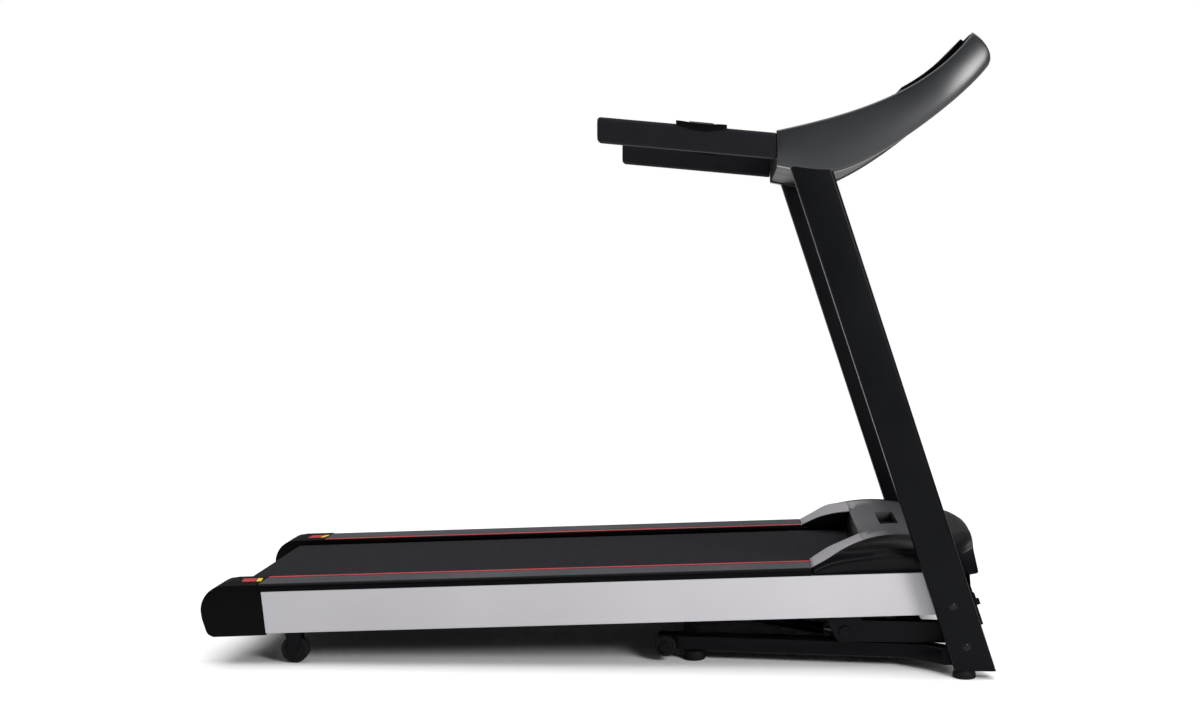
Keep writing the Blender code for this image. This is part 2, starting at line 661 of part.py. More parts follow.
# ---- fold shaft and lift frame ---------------------------------------------------------------
def build_lift():
    reach = UPRIGHT_OUT - UPRIGHT_WIDTH - PLAY
    shaft = rod("fold_shaft", (0, -reach, 0), (0, reach, 0), SHAFT_RADIUS, "steel", FOLD)
    shaft.location = (0, 0, 0)
    back = TILT_AXIS - FOLD_AXIS
    way = back.normalized()
    arms = []
    low, high = ARM_LOW - FOLD_AXIS.z, ARM_LOW + ARM_HEIGHT - FOLD_AXIS.z
    end = arc((back.x, back.z), ARM_END, 100, 260, 8)
    outline = [(0.017, high), *end, (0.017, low)]
    for name, s in SIDES:
        y0, y1 = s * ARM_Y - ARM_WIDTH / 2, s * ARM_Y + ARM_WIDTH / 2
        arm = slab("lift_frame" if s > 0 else "arm", [outline], y0, y1, "black_paint" if s > 0 else None, LIFT, s < 0)
        arms.append(arm)
        bore = rod("bore", (0, s * (ARM_Y - 0.03), 0), (0, s * (ARM_Y + 0.03), 0), SHAFT_RADIUS + PLAY, None, LIFT, cutter=True)
        arms.append(bore)
    frame = arms[0]
    middle = way * (back.length * SCREW_SHARE)
    low = (middle.x - 0.013, -ARM_Y, middle.z - 0.012)
    high = (middle.x + 0.013, ARM_Y, middle.z + 0.010)
    bar = box("bar", low, high, None, LIFT, cutter=True)
    weld(frame, arms[2], bar)
    for s in (1, -1):
        inner, outer = ARM_Y - 0.006, ARM_Y + ARM_WIDTH / 2 + BRACKET_THICK + 0.004
        pin = rod("pin", (back.x, s * inner, back.z), (back.x, s * outer, back.z), PIN_RADIUS, None, LIFT, cutter=True)
        head_in = outer - 0.0025
        head = rod("pin_head", (back.x, s * head_in, back.z), (back.x, s * (outer + 0.003), back.z), 0.013, None, LIFT, cutter=True, sides=6)
        weld(frame, pin, head)
    cut(frame, arms[1], arms[3])
    return middle


# ---- deck ----------------------------------------------------------------------------------
TILT_U, TILT_W = to_deck(TILT_AXIS)
STRUT_U, STRUT_W = to_deck(STRUT_DECK)
RAIL_REAR = 0.030
RAIL_FRONT = HOOD_U + 0.3025
CROSS_U = (0.219 * RAIL_FRONT, 0.469 * RAIL_FRONT, 0.719 * RAIL_FRONT)
FRONT_BAR_U = RAIL_FRONT - 0.030
SCREW_U, SCREW_W = to_deck(FOLD_AXIS + (TILT_AXIS - FOLD_AXIS) * SCREW_SHARE)


def build_deck_frame():
    middle = (RAIL_IN + RAIL_OUT) / 2
    rails = []
    for name, s in SIDES:
        rings = []
        for u in (RAIL_REAR, RAIL_FRONT):
            outline = rounded(RAIL_WIDTH, RAIL_TOP - RAIL_LOW, 0.003)
            rings.append([(u, s * middle + a, (RAIL_LOW + RAIL_TOP) / 2 + b) for a, b in outline])
        rail = place("deck_frame" if s > 0 else "rail", loft_mesh(rings, closed=False), "black_paint" if s > 0 else None, DECK, s < 0)
        hollow(rail, RAIL_WALL)
        rails.append(rail)
    frame = rails[0]
    inner = RAIL_IN + 0.001
    pieces = [rails[1]]
    board_low = BOARD_TOP - BOARD_THICK - GAP
    for u in CROSS_U:
        pieces.append(box("cross", (u - 0.02, -inner, board_low - 0.018), (u + 0.02, inner, board_low), None, DECK, cutter=True))
    u = STRUT_U + 0.032
    pieces.append(box("strut_bar", (u - 0.014, -inner, 0.010), (u + 0.014, inner, 0.036), None, DECK, cutter=True))
    pieces.append(box("front_bar", (FRONT_BAR_U, -inner, 0.008), (FRONT_BAR_U + 0.022, inner, 0.026), None, DECK, cutter=True))
    for y in (STRUT_Y - 0.021, STRUT_Y + 0.015):
        ear = box("ear", (STRUT_U - 0.012, y, STRUT_W - 0.012), (u, y + 0.006, 0.014), None, DECK, cutter=True)
        pieces.append(ear)
    for s in (1, -1):
        y0, y1 = between(s, ARM_Y + ARM_WIDTH / 2 + PLAY, ARM_Y + ARM_WIDTH / 2 + PLAY + BRACKET_THICK)
        outline = [(TILT_U - 0.042, RAIL_LOW + 0.004)] + arc((TILT_U, TILT_W), 0.024, 190, 350, 10)
        outline.append((TILT_U + 0.042, RAIL_LOW + 0.004))
        pieces.append(slab("tilt_bracket", [outline], y0, y1, None, DECK, cutter=True))
    wheel_u, wheel_w = to_deck((DECK_WHEEL_X, DECK_WHEEL_RADIUS))
    for s in (1, -1):
        for near in (DECK_WHEEL_Y - WHEEL_WIDTH / 2 - 0.005, DECK_WHEEL_Y + WHEEL_WIDTH / 2 + 0.001):
            y0, y1 = between(s, near, near + 0.004)
            outline = [(wheel_u - 0.020, RAIL_LOW + 0.004)] + arc((wheel_u, wheel_w), 0.010, 200, 340, 6)
            outline.append((wheel_u + 0.020, RAIL_LOW + 0.004))
            pieces.append(slab("wheel_fork", [outline], y0, y1, None, DECK, cutter=True))
        ends = [(wheel_u, s * (DECK_WHEEL_Y + d * (WHEEL_WIDTH / 2 + 0.004)), wheel_w) for d in (-1, 1)]
        pieces.append(rod("wheel_pin", *ends, 0.004, None, DECK, cutter=True, sides=12))
    for near, far in ((STRUT_Y - 0.024, STRUT_Y - 0.018), (STRUT_Y + 0.018, STRUT_Y + 0.024)):
        ends = [(STRUT_U, near, STRUT_W), (STRUT_U, far, STRUT_W)]
        pieces.append(rod("strut_bolt_head", *ends, 0.007, None, DECK, cutter=True, sides=6))
    weld(frame, *pieces)
    for s in (1, -1):
        ends = [(TILT_U, s * (ARM_Y + ARM_WIDTH / 2 - 0.003), TILT_W), (TILT_U, s * DECK_HALF, TILT_W)]
        cut(frame, rod("tilt_bore", *ends, PIN_RADIUS + PLAY, None, DECK, cutter=True))
    for u in (REAR_ROLLER_U, FRONT_ROLLER_U):
        reach = RAIL_IN + 0.010
        ends = [(u, -reach, ROLLER_W), (u, reach, ROLLER_W)]
        cut(frame, rod("axle_bore", *ends, AXLE_RADIUS + PLAY, None, DECK, cutter=True, sides=16))
    for name, s in SIDES:
        tyre = wheel(f"deck_wheel_{name}", DECK_WHEEL_X, s * DECK_WHEEL_Y, DECK_WHEEL_RADIUS, DECK_WHEEL_RADIUS, 0.004 + PLAY)
        axis = deck_axis(f"deck_wheel_axis_{name}", wheel_u, s * DECK_WHEEL_Y, wheel_w)
        tyre.parent = axis
        tyre.location = (0, 0, 0)
        tyre.rotation_euler = (pi / 2, 0, 0)


def build_covers():
    low, high = 0.002, 0.002 + COVER_HEIGHT
    for name, s in SIDES:
        outer, wall, lip = DECK_HALF, COVER_WALL, COVER_LIP
        section = [
            (outer, low), (outer, high), (outer - lip, high), (outer - lip, high - wall),
            (outer - wall, high - wall), (outer - wall, low + wall), (outer - lip, low + wall), (outer - lip, low),
        ]
        rear_low, rear_high = CAP_LENGTH + 0.013, CAP_LENGTH + 0.007
        rings = []
        for at, front in ((0, False), (RAIL_FRONT, True)):
            ring = []
            for y, w in section:
                slant = rear_low + (rear_high - rear_low) * (w - low) / (high - low)
                ring.append((RAIL_FRONT if front else slant, s * y, w))
            rings.append(ring)
        place(f"side_cover_{name}", loft_mesh(rings), "silver_cover", DECK)
        edge, inner = DECK_HALF, DECK_HALF - STEP_WIDTH
        section = [
            (edge, STEP_LOW), (edge, STEP_LOW + 0.008), (edge - 0.003, STEP_TOP - 0.003), (edge - 0.008, STEP_TOP),
            (inner + 0.003, STEP_TOP), (inner, STEP_TOP - 0.003), (inner, BELT_TOP + 0.002), (inner + 0.003, STEP_LOW),
        ]
        rings = [[(u, s * y, w) for y, w in section] for u in (CAP_LENGTH + PLAY, HOOD_U - PLAY)]
        place(f"foot_rail_{name}", loft_mesh(rings), "gray_plastic", DECK)


def cap_outline(grow):
    """Rear cap seen from the side: blunt foot, bulging back, curved over to a flat top."""
    low, top = -0.003, STEP_TOP + 0.0005
    joint = CAP_LENGTH + 0.0125
    points = [(joint, low + 0.001), (0.024 + grow, low + grow), (0.012 + grow, 0.010)]
    points += [(0.004 + grow, 0.040), (0.0025 + grow, 0.058), (0.010 + grow, 0.080)]
    points += [(0.022 + grow, 0.095), (0.038 + grow, top - 0.003 - grow), (0.058 + grow, top - grow)]
    seam = STEP_LOW - 2 * GAP
    return points + [(CAP_LENGTH, top - grow), (CAP_LENGTH, seam), (CAP_LENGTH + 0.0065, seam)]


def build_caps():
    for name, s in SIDES:
        y0, y1 = between(s, CAP_INNER, DECK_HALF + 0.001)
        cap = slab(f"rear_cap_{name}", [cap_outline(0.0)], y0, y1, "dark_plastic", DECK)
        edges = cap.modifiers.new("edges", "BEVEL")
        edges.width = 0.002
        edges.segments = 2
        edges.angle_limit = radians(50)
        p0, p1 = between(s, RAIL_IN - PLAY, RAIL_OUT + PLAY)
        pocket = box("pocket", (RAIL_REAR - PLAY, p0, RAIL_LOW - PLAY), (CAP_LENGTH + 0.05, p1, RAIL_TOP + PLAY), None, DECK, cutter=True)
        ends = [(REAR_ROLLER_U, s * (CAP_INNER - 0.01), ROLLER_W), (REAR_ROLLER_U, s * (RAIL_IN + 0.01), ROLLER_W)]
        bore = rod("bore", *ends, AXLE_RADIUS + PLAY, None, DECK, cutter=True, sides=16)
        cut(cap, pocket, bore)
    line = [(0.026, 0.004), (0.0155, 0.012), (0.0085, 0.040), (0.007, 0.058), (0.014, 0.079), (0.026, 0.094), (0.040, 0.100)]
    inner = [(u + 0.003, w - 0.0005) for u, w in line]
    reach = CAP_INNER - PLAY
    slab("rear_guard", [line + inner[::-1]], -reach, reach, "dark_plastic", DECK)


def build_running_gear():
    half = BELT_WIDTH / 2
    reach = RAIL_IN + 0.0015
    for name, u, extra in (("front_roller", FRONT_ROLLER_U, True), ("rear_roller", REAR_ROLLER_U, False)):
        axis = deck_axis(f"{name}_axis", u, 0, ROLLER_W)
        roller = rod(name, (0, -half - 0.004, 0), (0, half + 0.004, 0), ROLLER_RADIUS, "steel", axis, sides=32)
        axle = rod("axle", (0, -reach, 0), (0, reach, 0), AXLE_RADIUS, None, axis, cutter=True, sides=16)
        weld(roller, axle)
        if extra:
            pulley = rod("pulley", (0, half + 0.016, 0), (0, half + 0.030, 0), FRONT_PULLEY_RADIUS, None, axis, cutter=True, sides=32)
            weld(roller, pulley)
    inside, outside = ROLLER_RADIUS + GAP, ROLLER_RADIUS + GAP + BELT_THICK
    rings = []
    for r in (outside, inside):
        ring = arc((FRONT_ROLLER_U, ROLLER_W), r, -90, 90, 12) + arc((REAR_ROLLER_U, ROLLER_W), r, 90, 270, 12)
        rings.append(ring)
    slab("running_belt", rings, -half, half, "belt", DECK)
    start, end = REAR_ROLLER_U + ROLLER_RADIUS + 0.012, FRONT_ROLLER_U - ROLLER_RADIUS - 0.012
    wide = CAP_INNER - PLAY
    box("running_board", (start, -wide, BOARD_TOP - BOARD_THICK), (end, wide, BOARD_TOP - GAP), "wood", DECK)
    m = Vector((MOTOR_U, 0.0, MOTOR_W))
    pulley_y = (half + 0.016, half + 0.030)
    motor_end = pulley_y[0] - 0.026
    motor = rod("drive_motor", (m.x, motor_end - MOTOR_LENGTH, m.z), (m.x, motor_end, m.z), MOTOR_RADIUS, "dark_plastic", DECK, sides=32)
    foot = box("motor_foot", (m.x - 0.030, motor_end - MOTOR_LENGTH + 0.02, 0.029), (m.x + 0.030, motor_end - 0.02, MOTOR_W - 0.030), None, DECK, cutter=True)
    weld(motor, foot)
    axis = deck_axis("motor_axis", m.x, 0, m.z)
    spindle = rod("motor_pulley", (0, pulley_y[0], 0), (0, pulley_y[1], 0), MOTOR_PULLEY_RADIUS, "steel", axis)
    nose = rod("nose", (0, motor_end + PLAY, 0), (0, pulley_y[1], 0), 0.006, None, axis, cutter=True, sides=16)
    weld(spindle, nose)
    belt_rings = [drive_belt_ring(r) for r in (0.0030, GAP)]
    slab("drive_belt", belt_rings, pulley_y[0] + 0.001, pulley_y[1] - 0.001, "rubber", DECK)


def drive_belt_ring(off):
    """Loop around the motor's pulley and the front roller's pulley, off from both."""
    du, dw = MOTOR_U - FRONT_ROLLER_U, MOTOR_W - ROLLER_W
    line = atan2(dw, du) * 180 / pi
    open_angle = asin((FRONT_PULLEY_RADIUS - MOTOR_PULLEY_RADIUS) / hypot(du, dw)) * 180 / pi
    big = arc((FRONT_ROLLER_U, ROLLER_W), FRONT_PULLEY_RADIUS + off, line + 90 - open_angle, line + 270 + open_angle, 20)
    small = arc((MOTOR_U, MOTOR_W), MOTOR_PULLEY_RADIUS + off, line - 90 + open_angle, line + 90 - open_angle, 12)
    return big + small


# hood stations: length from the arms' tips, lower edge, ledge, shoulder in from the covers' faces, its height, crown height
NOSE_ROUND = 0.050  # how far the hood's front corners draw in
HOOD_STATIONS = (
    (0.0000, 0.0922, 0.0965, 0.008, 0.1070, 0.1090),
    (0.0325, 0.0922, 0.1080, 0.010, 0.1240, 0.1270),
    (0.0635, 0.0922, 0.1180, 0.019, 0.1405, 0.1400),
    (0.0955, 0.0922, 0.1240, 0.045, 0.1495, 0.1480),
    (0.1275, 0.0922, 0.1270, 0.063, 0.1565, 0.1560),
    (0.1625, 0.0922, 0.1300, 0.072, 0.1610, 0.1620),
    (0.2025, 0.0922, 0.1330, 0.075, 0.1640, 0.1660),
    (0.2525, 0.0922, 0.1350, 0.086, 0.1620, 0.1670),
    (0.2925, 0.0922, 0.1350, 0.112, 0.1580, 0.1670),
    (0.3045, 0.0922, 0.1340, 0.122, 0.1555, 0.1650),
    (0.3065, 0.0680, 0.1335, 0.124, 0.1550, 0.1645),
    (0.3325, 0.0680, 0.1270, 0.152, 0.1430, 0.1560),
    (0.3525, 0.0680, 0.1180, 0.190, 0.1310, 0.1430),
    (0.3615, 0.0680, 0.1060, 0.215, 0.1180, 0.1260),
)


def hood_ring(station, inset, drop):
    """One closed cross-section of the hood, from its lower left edge over to its lower right."""
    behind, low, ledge, setback, high, crown = station
    nose = NOSE_ROUND * max(0, (behind - 0.2825) / 0.079) ** 2
    u, wide, half = HOOD_U + behind, DECK_HALF - setback, DECK_HALF - 0.002 - nose - inset
    points = [(half, low - drop), (half, ledge - inset), (half - 0.004, ledge + 0.003 - inset)]
    points += [(wide - inset, high - inset), (wide * 0.55, (high + crown) / 2 + 0.001 - inset), (0, crown - inset)]
    mirrored = [(-y, w) for y, w in points[-2::-1]]
    return [(u, y, w) for y, w in points + mirrored]


VENT_U = (HOOD_U + 0.1585, HOOD_U + 0.2025)
VENT_Y = (-0.110, 0.050)


def mouth_prism(grow, top):
    """The opening between the hood's arms, where the belt goes under."""
    rings = []
    belt_side = DECK_HALF - STEP_WIDTH
    for w, rear, front in ((0.060, belt_side + 0.0005, belt_side - 0.035), (top, belt_side - 0.0075, belt_side - 0.075)):
        back = HOOD_U + 0.1025 + 0.012 * (w > 0.1)
        rings.append([
            (HOOD_U - 0.02, -rear - grow, w), (back + grow, -front - grow, w),
            (back + grow, front + grow, w), (HOOD_U - 0.02, rear + grow, w),
        ])
    return loft_mesh(rings)


def build_hood():
    hood = place("motor_hood", loft_mesh([hood_ring(s, 0.0, 0.0) for s in HOOD_STATIONS]), "dark_plastic", DECK)
    inner = [list(s) for s in HOOD_STATIONS]
    inner[0][0] += HOOD_WALL
    inner[-1][0] -= HOOD_WALL
    inside = place("inside", loft_mesh([hood_ring(s, HOOD_WALL, 0.02) for s in inner]), None, DECK, cutter=True)
    cut(inside, place("mouth_wall", mouth_prism(HOOD_WALL, 0.22), None, DECK, cutter=True))
    mouth = place("mouth", mouth_prism(0.0, 0.23), None, DECK, cutter=True)
    wide = DECK_HALF - STEP_WIDTH + 0.0008
    slot = box("belt_slot", (HOOD_U - 0.03, -wide, 0.04), (FRONT_ROLLER_U + 0.04, wide, BELT_TOP + 0.0042), None, DECK, cutter=True)
    vent = box("vent", (VENT_U[0], VENT_Y[0], 0.120), (VENT_U[1], VENT_Y[1], 0.20), None, DECK, cutter=True)
    cut(hood, inside, mouth, slot, vent)


def build_deck_inside():
    box("belly_pan", (FRONT_ROLLER_U + 0.0355, -RAIL_IN + 0.002, 0.0040), (FRONT_BAR_U - 0.002, RAIL_IN - 0.002, 0.0065), "dark_plastic", DECK)
    pan = PARTS.objects["belly_pan"]
    screw_u, screw_y = SCREW_U, SCREW_Y
    cut(pan, box("slot", (screw_u - 0.020, screw_y - 0.022, -0.02), (screw_u + 0.020, screw_y + 0.022, 0.03), None, DECK, cutter=True))
    box("motor_controller", (MOTOR_U - 0.048, -RAIL_IN + 0.041, 0.0070), (MOTOR_U + 0.012, -RAIL_IN + 0.161, 0.085), "gray_plastic", DECK, bevel=0.002)
    motor = rod("incline_motor", (screw_u, screw_y, 0.048), (screw_u, screw_y, 0.148), 0.024, "dark_plastic", DECK, sides=24)
    weld(motor, box("gearbox", (screw_u - 0.026, screw_y - 0.045, 0.050), (screw_u + 0.026, screw_y + 0.026, 0.082), None, DECK, cutter=True))
    sleeve_bore = rod("sleeve_bore", (screw_u, screw_y, 0.0), (screw_u, screw_y, 0.142), 0.0125, None, DECK, cutter=True)
    cut(motor, sleeve_bore)
    screw = rod("incline_screw", (screw_u, screw_y, SCREW_W + 0.014), (screw_u, screw_y, 0.135), 0.0119, "steel", DECK)
    fork = box("fork", (screw_u - 0.018, screw_y - 0.018, SCREW_W + 0.0135), (screw_u + 0.018, screw_y + 0.018, SCREW_W + 0.020), None, DECK, cutter=True)
    weld(screw, fork)
    build_power_panel()


def build_power_panel():
    """Slanted plate below the hood's front with the mains inlet, the switch and the breaker's button."""
    rear = RAIL_FRONT + 0.001
    outline = [(rear, 0.060), (rear + 0.025, 0.060), (rear + 0.049, -0.022)]
    outline += [(rear + 0.039, -0.026), (rear + 0.019, 0.040), (rear, 0.040)]
    edge = 0.008 - DECK_HALF
    board = slab("power_panel", [outline], edge, edge + 0.122, "dark_plastic", DECK)
    middle = Vector((rear + 0.0365, 0, 0.0205))
    lean = atan2(0.024, 0.082)
    for name, y, half_y, half_z, depth, material in (
        ("reset_button", edge + 0.020, 0.006, 0.006, 0.009, "red_plastic"),
        ("power_switch", edge + 0.050, 0.008, 0.012, 0.006, "dark_plastic"),
        ("power_inlet", edge + 0.090, 0.014, 0.011, 0.004, "gray_plastic"),
    ):
        well = box("well", (-0.012, -half_y - PLAY, -half_z - PLAY), (0.02, half_y + PLAY, half_z + PLAY), None, DECK, cutter=True)
        piece = box(name, (-0.005, -half_y, -half_z), (depth, half_y, half_z), material, DECK, bevel=0.0008)
        for obj in (well, piece):
            obj.location = (middle.x, y, middle.z)
            obj.rotation_euler = (0, -lean, 0)
        cut(board, well)
        if name == "power_inlet":
            socket = box("socket", (-0.002, -half_y + 0.002, -half_z + 0.002), (0.03, half_y - 0.002, half_z - 0.002), None, DECK, cutter=True)
            socket.location = (middle.x, y, middle.z)
            socket.rotation_euler = (0, -lean, 0)
            cut(piece, socket)



def build_strut():
    way = (STRUT_DECK - STRUT_BASE).normalized()
    axis = empty("strut_axis", STRUT_BASE)
    length = (STRUT_DECK - STRUT_BASE).length
    piston = rod("strut_rod", way * 0.006, way * (length - 0.035), STRUT_ROD_RADIUS, "steel", axis, sides=12)
    eye = rod("rod_eye", (0, -0.0085, 0), (0, 0.0085, 0), 0.009, None, axis, cutter=True, sides=16)
    hole = rod("rod_hole", (0, -0.02, 0), (0, 0.02, 0), 0.0046, None, axis, cutter=True, sides=12)
    weld(piston, eye)
    cut(piston, hole)
    body_start, body_end = way * 0.030, way * (length - 0.018)
    tube = rod("strut_cylinder", body_start, body_end, STRUT_RADIUS - 0.002, "black_paint", axis, tip=STRUT_RADIUS)
    bore = rod("bore", way * 0.010, way * (length - 0.030), STRUT_ROD_RADIUS + PLAY, None, axis, cutter=True, sides=16)
    tongue_end = way * (length + 0.002)
    tongue = rod("tongue", body_end - way * 0.004, tongue_end, 0.006, None, axis, cutter=True, sides=12)
    far = way * length
    barrel = rod("cross_pin", (far.x, -0.0147, far.z), (far.x, 0.0147, far.z), 0.008, None, axis, cutter=True, sides=16)
    cut(tube, bore)
    weld(tube, tongue, barrel)


build_base()
build_feet_and_wheels()
build_uprights()
build_handles()
build_console()
build_lift()
build_deck_frame()
build_covers()
build_caps()
build_running_gear()
build_hood()
build_deck_inside()
build_strut()
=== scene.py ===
# %% [markdown]
# # A folding treadmill, dressed from its steel frame
# The frame that arrives here is the engineering model: every tube, cover and roller is in its place, but
# its edges are sharp and its surfaces have no finish. This lesson gives each piece the rounded edges, the
# paint, the foam and the moulded plastic of the real machine. We start by loading the frame.

# %% Load the frame
import json

import bmesh
import bpy
import numpy as np
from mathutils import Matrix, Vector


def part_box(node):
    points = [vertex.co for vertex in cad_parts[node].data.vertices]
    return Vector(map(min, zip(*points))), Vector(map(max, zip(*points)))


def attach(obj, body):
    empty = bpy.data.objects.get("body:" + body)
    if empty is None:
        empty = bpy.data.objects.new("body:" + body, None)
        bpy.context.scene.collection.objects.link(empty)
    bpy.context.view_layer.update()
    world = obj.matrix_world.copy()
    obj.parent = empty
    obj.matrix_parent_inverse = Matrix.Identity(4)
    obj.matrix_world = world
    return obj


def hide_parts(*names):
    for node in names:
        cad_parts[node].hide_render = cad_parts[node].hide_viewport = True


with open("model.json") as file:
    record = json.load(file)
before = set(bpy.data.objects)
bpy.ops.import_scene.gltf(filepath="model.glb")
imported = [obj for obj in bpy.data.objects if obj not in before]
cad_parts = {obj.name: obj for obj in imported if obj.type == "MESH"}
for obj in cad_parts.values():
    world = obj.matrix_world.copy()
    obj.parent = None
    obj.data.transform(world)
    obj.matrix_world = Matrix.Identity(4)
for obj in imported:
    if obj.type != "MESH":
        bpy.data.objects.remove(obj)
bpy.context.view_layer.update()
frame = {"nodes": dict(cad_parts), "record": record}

# %% [markdown]
# ## The camera
# A treadmill shows itself best from the side: the long low deck, the leaning posts and the console are
# all in profile. The camera stands three and a half metres off, a little below the handles, so that the
# belt and both foot rails are just seen from above. Three plain angles aim it, easy to change by hand.

# %% Set the camera
def add_object(name, data):
    """A new object that carries this data, linked into the scene."""
    obj = bpy.data.objects.new(name, data)
    bpy.context.scene.collection.objects.link(obj)
    return obj


view = bpy.data.cameras.new("side_view")
view.lens = 47.2
view.shift_x = -0.058
camera = add_object("side_view", view)
camera.location = (0.304, -3.57, 0.8564)
camera.rotation_euler = np.radians((90 - 3.6, 0, 2.5))
bpy.context.scene.camera = camera
print("camera", round(view.lens, 1), "mm at", tuple(camera.location))

# %% [markdown]
# ## Floor and studio light
# A black machine shows best in a white room. Large lamps give long, soft reflections along the edges;
# a small lamp would only leave hot dots. The left lamp grazes the slopes that face the runner, the
# right one lights the rising end of the console, and a wide sun from above draws the deck's top.


# %% A pale floor
def shader_node(nodes, kind, **values):
    """A new shader node of this kind with its inputs set by name; an underscore stands for a space."""
    node = nodes.new("ShaderNode" + kind)
    for name, value in values.items():
        node.inputs[name.replace("_", " ")].default_value = value
    return node


def new_material(name):
    """An empty node material with its Principled shader: (material, nodes, links, shader)."""
    material = bpy.data.materials.new(name)
    material.use_nodes = True
    nodes, links = material.node_tree.nodes, material.node_tree.links
    return material, nodes, links, nodes["Principled BSDF"]


floor_mesh = bpy.data.meshes.new("floor")
floor_mesh.from_pydata([(-30, -30, 0), (30, -30, 0), (30, 30, 0), (-30, 30, 0)], [], [(0, 1, 2, 3)])
floor = add_object("floor", floor_mesh)
floor_paint, _, _, shader = new_material("floor_paint")
shader.inputs["Base Color"].default_value = (0.93, 0.93, 0.935, 1)
shader.inputs["Roughness"].default_value = 0.75
floor_mesh.materials.append(floor_paint)


# %% Soft lamps and a white room
def soft_lamp(name, place, aim, size, power):
    """A square lamp of this size in metres, turned so that its face looks from place towards aim."""
    lamp = bpy.data.lights.new(name, "AREA")
    lamp.size, lamp.energy = size, power
    holder = add_object(name, lamp)
    holder.location = place
    way = np.array(aim, float) - np.array(place, float)
    flat = np.hypot(way[0], way[1])
    holder.rotation_euler = (np.arctan2(flat, -way[2]), 0, np.arctan2(way[1], way[0]) - np.pi / 2)


soft_lamp("left_lamp", (-2.4, -0.7, 1.9), (0.2, 0.0, 0.4), 1.4, 10)
soft_lamp("right_lamp", (1.95, -2.35, 1.6), (0.7, 0.0, 0.9), 1.0, 70)
sky = bpy.data.lights.new("sky_panel", "SUN")
sky.energy, sky.angle = 3.3, np.radians(80)
sky_holder = add_object("sky_panel", sky)
sky_holder.rotation_euler = np.radians((-6, 0, 0))
room = bpy.data.worlds.new("white_room")
room.use_nodes = True
room_nodes, room_links = room.node_tree.nodes, room.node_tree.links
seen = shader_node(room_nodes, "MapRange", To_Min=0.14, To_Max=1.0)
paths = room_nodes.new("ShaderNodeLightPath")
room_links.new(paths.outputs["Is Camera Ray"], seen.inputs["Value"])
room_links.new(seen.outputs["Result"], room_nodes["Background"].inputs["Strength"])
room_nodes["Background"].inputs["Color"].default_value = (1, 1, 1, 1)
bpy.context.scene.world = room
bpy.context.scene.view_settings.view_transform = "Standard"

# %% [markdown]
# ## Finishes
# A finish is a colour, a gloss and a small relief. Each of them varies a little over any real surface:
# paint is thicker near an edge, plastic keeps the grain of its mould, foam is full of pores. One helper
# writes that recipe as nodes: a coarse noise changes colour and gloss, and a fine pattern raises the
# surface. Both follow the object's own coordinates, so no pattern slides when the deck folds.


# %% The recipe for a finish
NOISE_SPAN = (0.35, 0.95)


def finish(name, dark, light, rough, relief=0.1, grain=900.0, cells=False, patch=6.0, depth=0.0004,
           metal=0.0, coat=0.0, sheen=0.0, gleam=0.5, stretch=(1, 1, 1)):
    """Colour = dark to light by a noise of patch repeats a metre; gloss = rough[0] to rough[1] by the same
    noise; relief = noise, or rounded cells, of grain repeats a metre, raised by depth metres at most."""
    material, nodes, links, shader = new_material(name)
    place = nodes.new("ShaderNodeTexCoord")
    turn = shader_node(nodes, "Mapping", Scale=stretch)
    links.new(place.outputs["Object"], turn.inputs["Vector"])
    cloud = shader_node(nodes, "TexNoise", Scale=patch, Detail=4)
    links.new(turn.outputs["Vector"], cloud.inputs["Vector"])
    fine = shader_node(nodes, "TexVoronoi" if cells else "TexNoise", Scale=grain)
    links.new(turn.outputs["Vector"], fine.inputs["Vector"])
    height = fine.outputs["Distance"] if cells else fine.outputs["Fac"]
    both = nodes.new("ShaderNodeMath")
    both.operation = "MULTIPLY_ADD"
    both.inputs[1].default_value = 0.35
    links.new(height, both.inputs[0])
    links.new(cloud.outputs["Fac"], both.inputs[2])
    colour = nodes.new("ShaderNodeValToRGB")
    for stop, position, tint in zip(colour.color_ramp.elements, NOISE_SPAN, (dark, light)):
        stop.position, stop.color = position, (*tint, 1)
    links.new(both.outputs[0], colour.inputs["Fac"])
    links.new(colour.outputs["Color"], shader.inputs["Base Color"])
    gloss = shader_node(nodes, "MapRange", From_Min=NOISE_SPAN[0], From_Max=NOISE_SPAN[1],
                        To_Min=rough[0], To_Max=rough[1])
    links.new(both.outputs[0], gloss.inputs["Value"])
    links.new(gloss.outputs["Result"], shader.inputs["Roughness"])
    bump = shader_node(nodes, "Bump", Strength=relief, Distance=depth)
    links.new(height, bump.inputs["Height"])
    links.new(bump.outputs["Normal"], shader.inputs["Normal"])
    for setting, value in (("Metallic", metal), ("Specular IOR Level", gleam), ("Coat Weight", coat),
                           ("Coat Roughness", 0.12), ("Sheen Weight", sheen)):
        shader.inputs[setting].default_value = value
    return material


# %% [markdown]
# The frame names a slot for every node, such as black_paint or foam. One finish is made for each slot:
# powder coat is nearly black, the long covers are a silver lacquer, and plastic has its mould's grain.

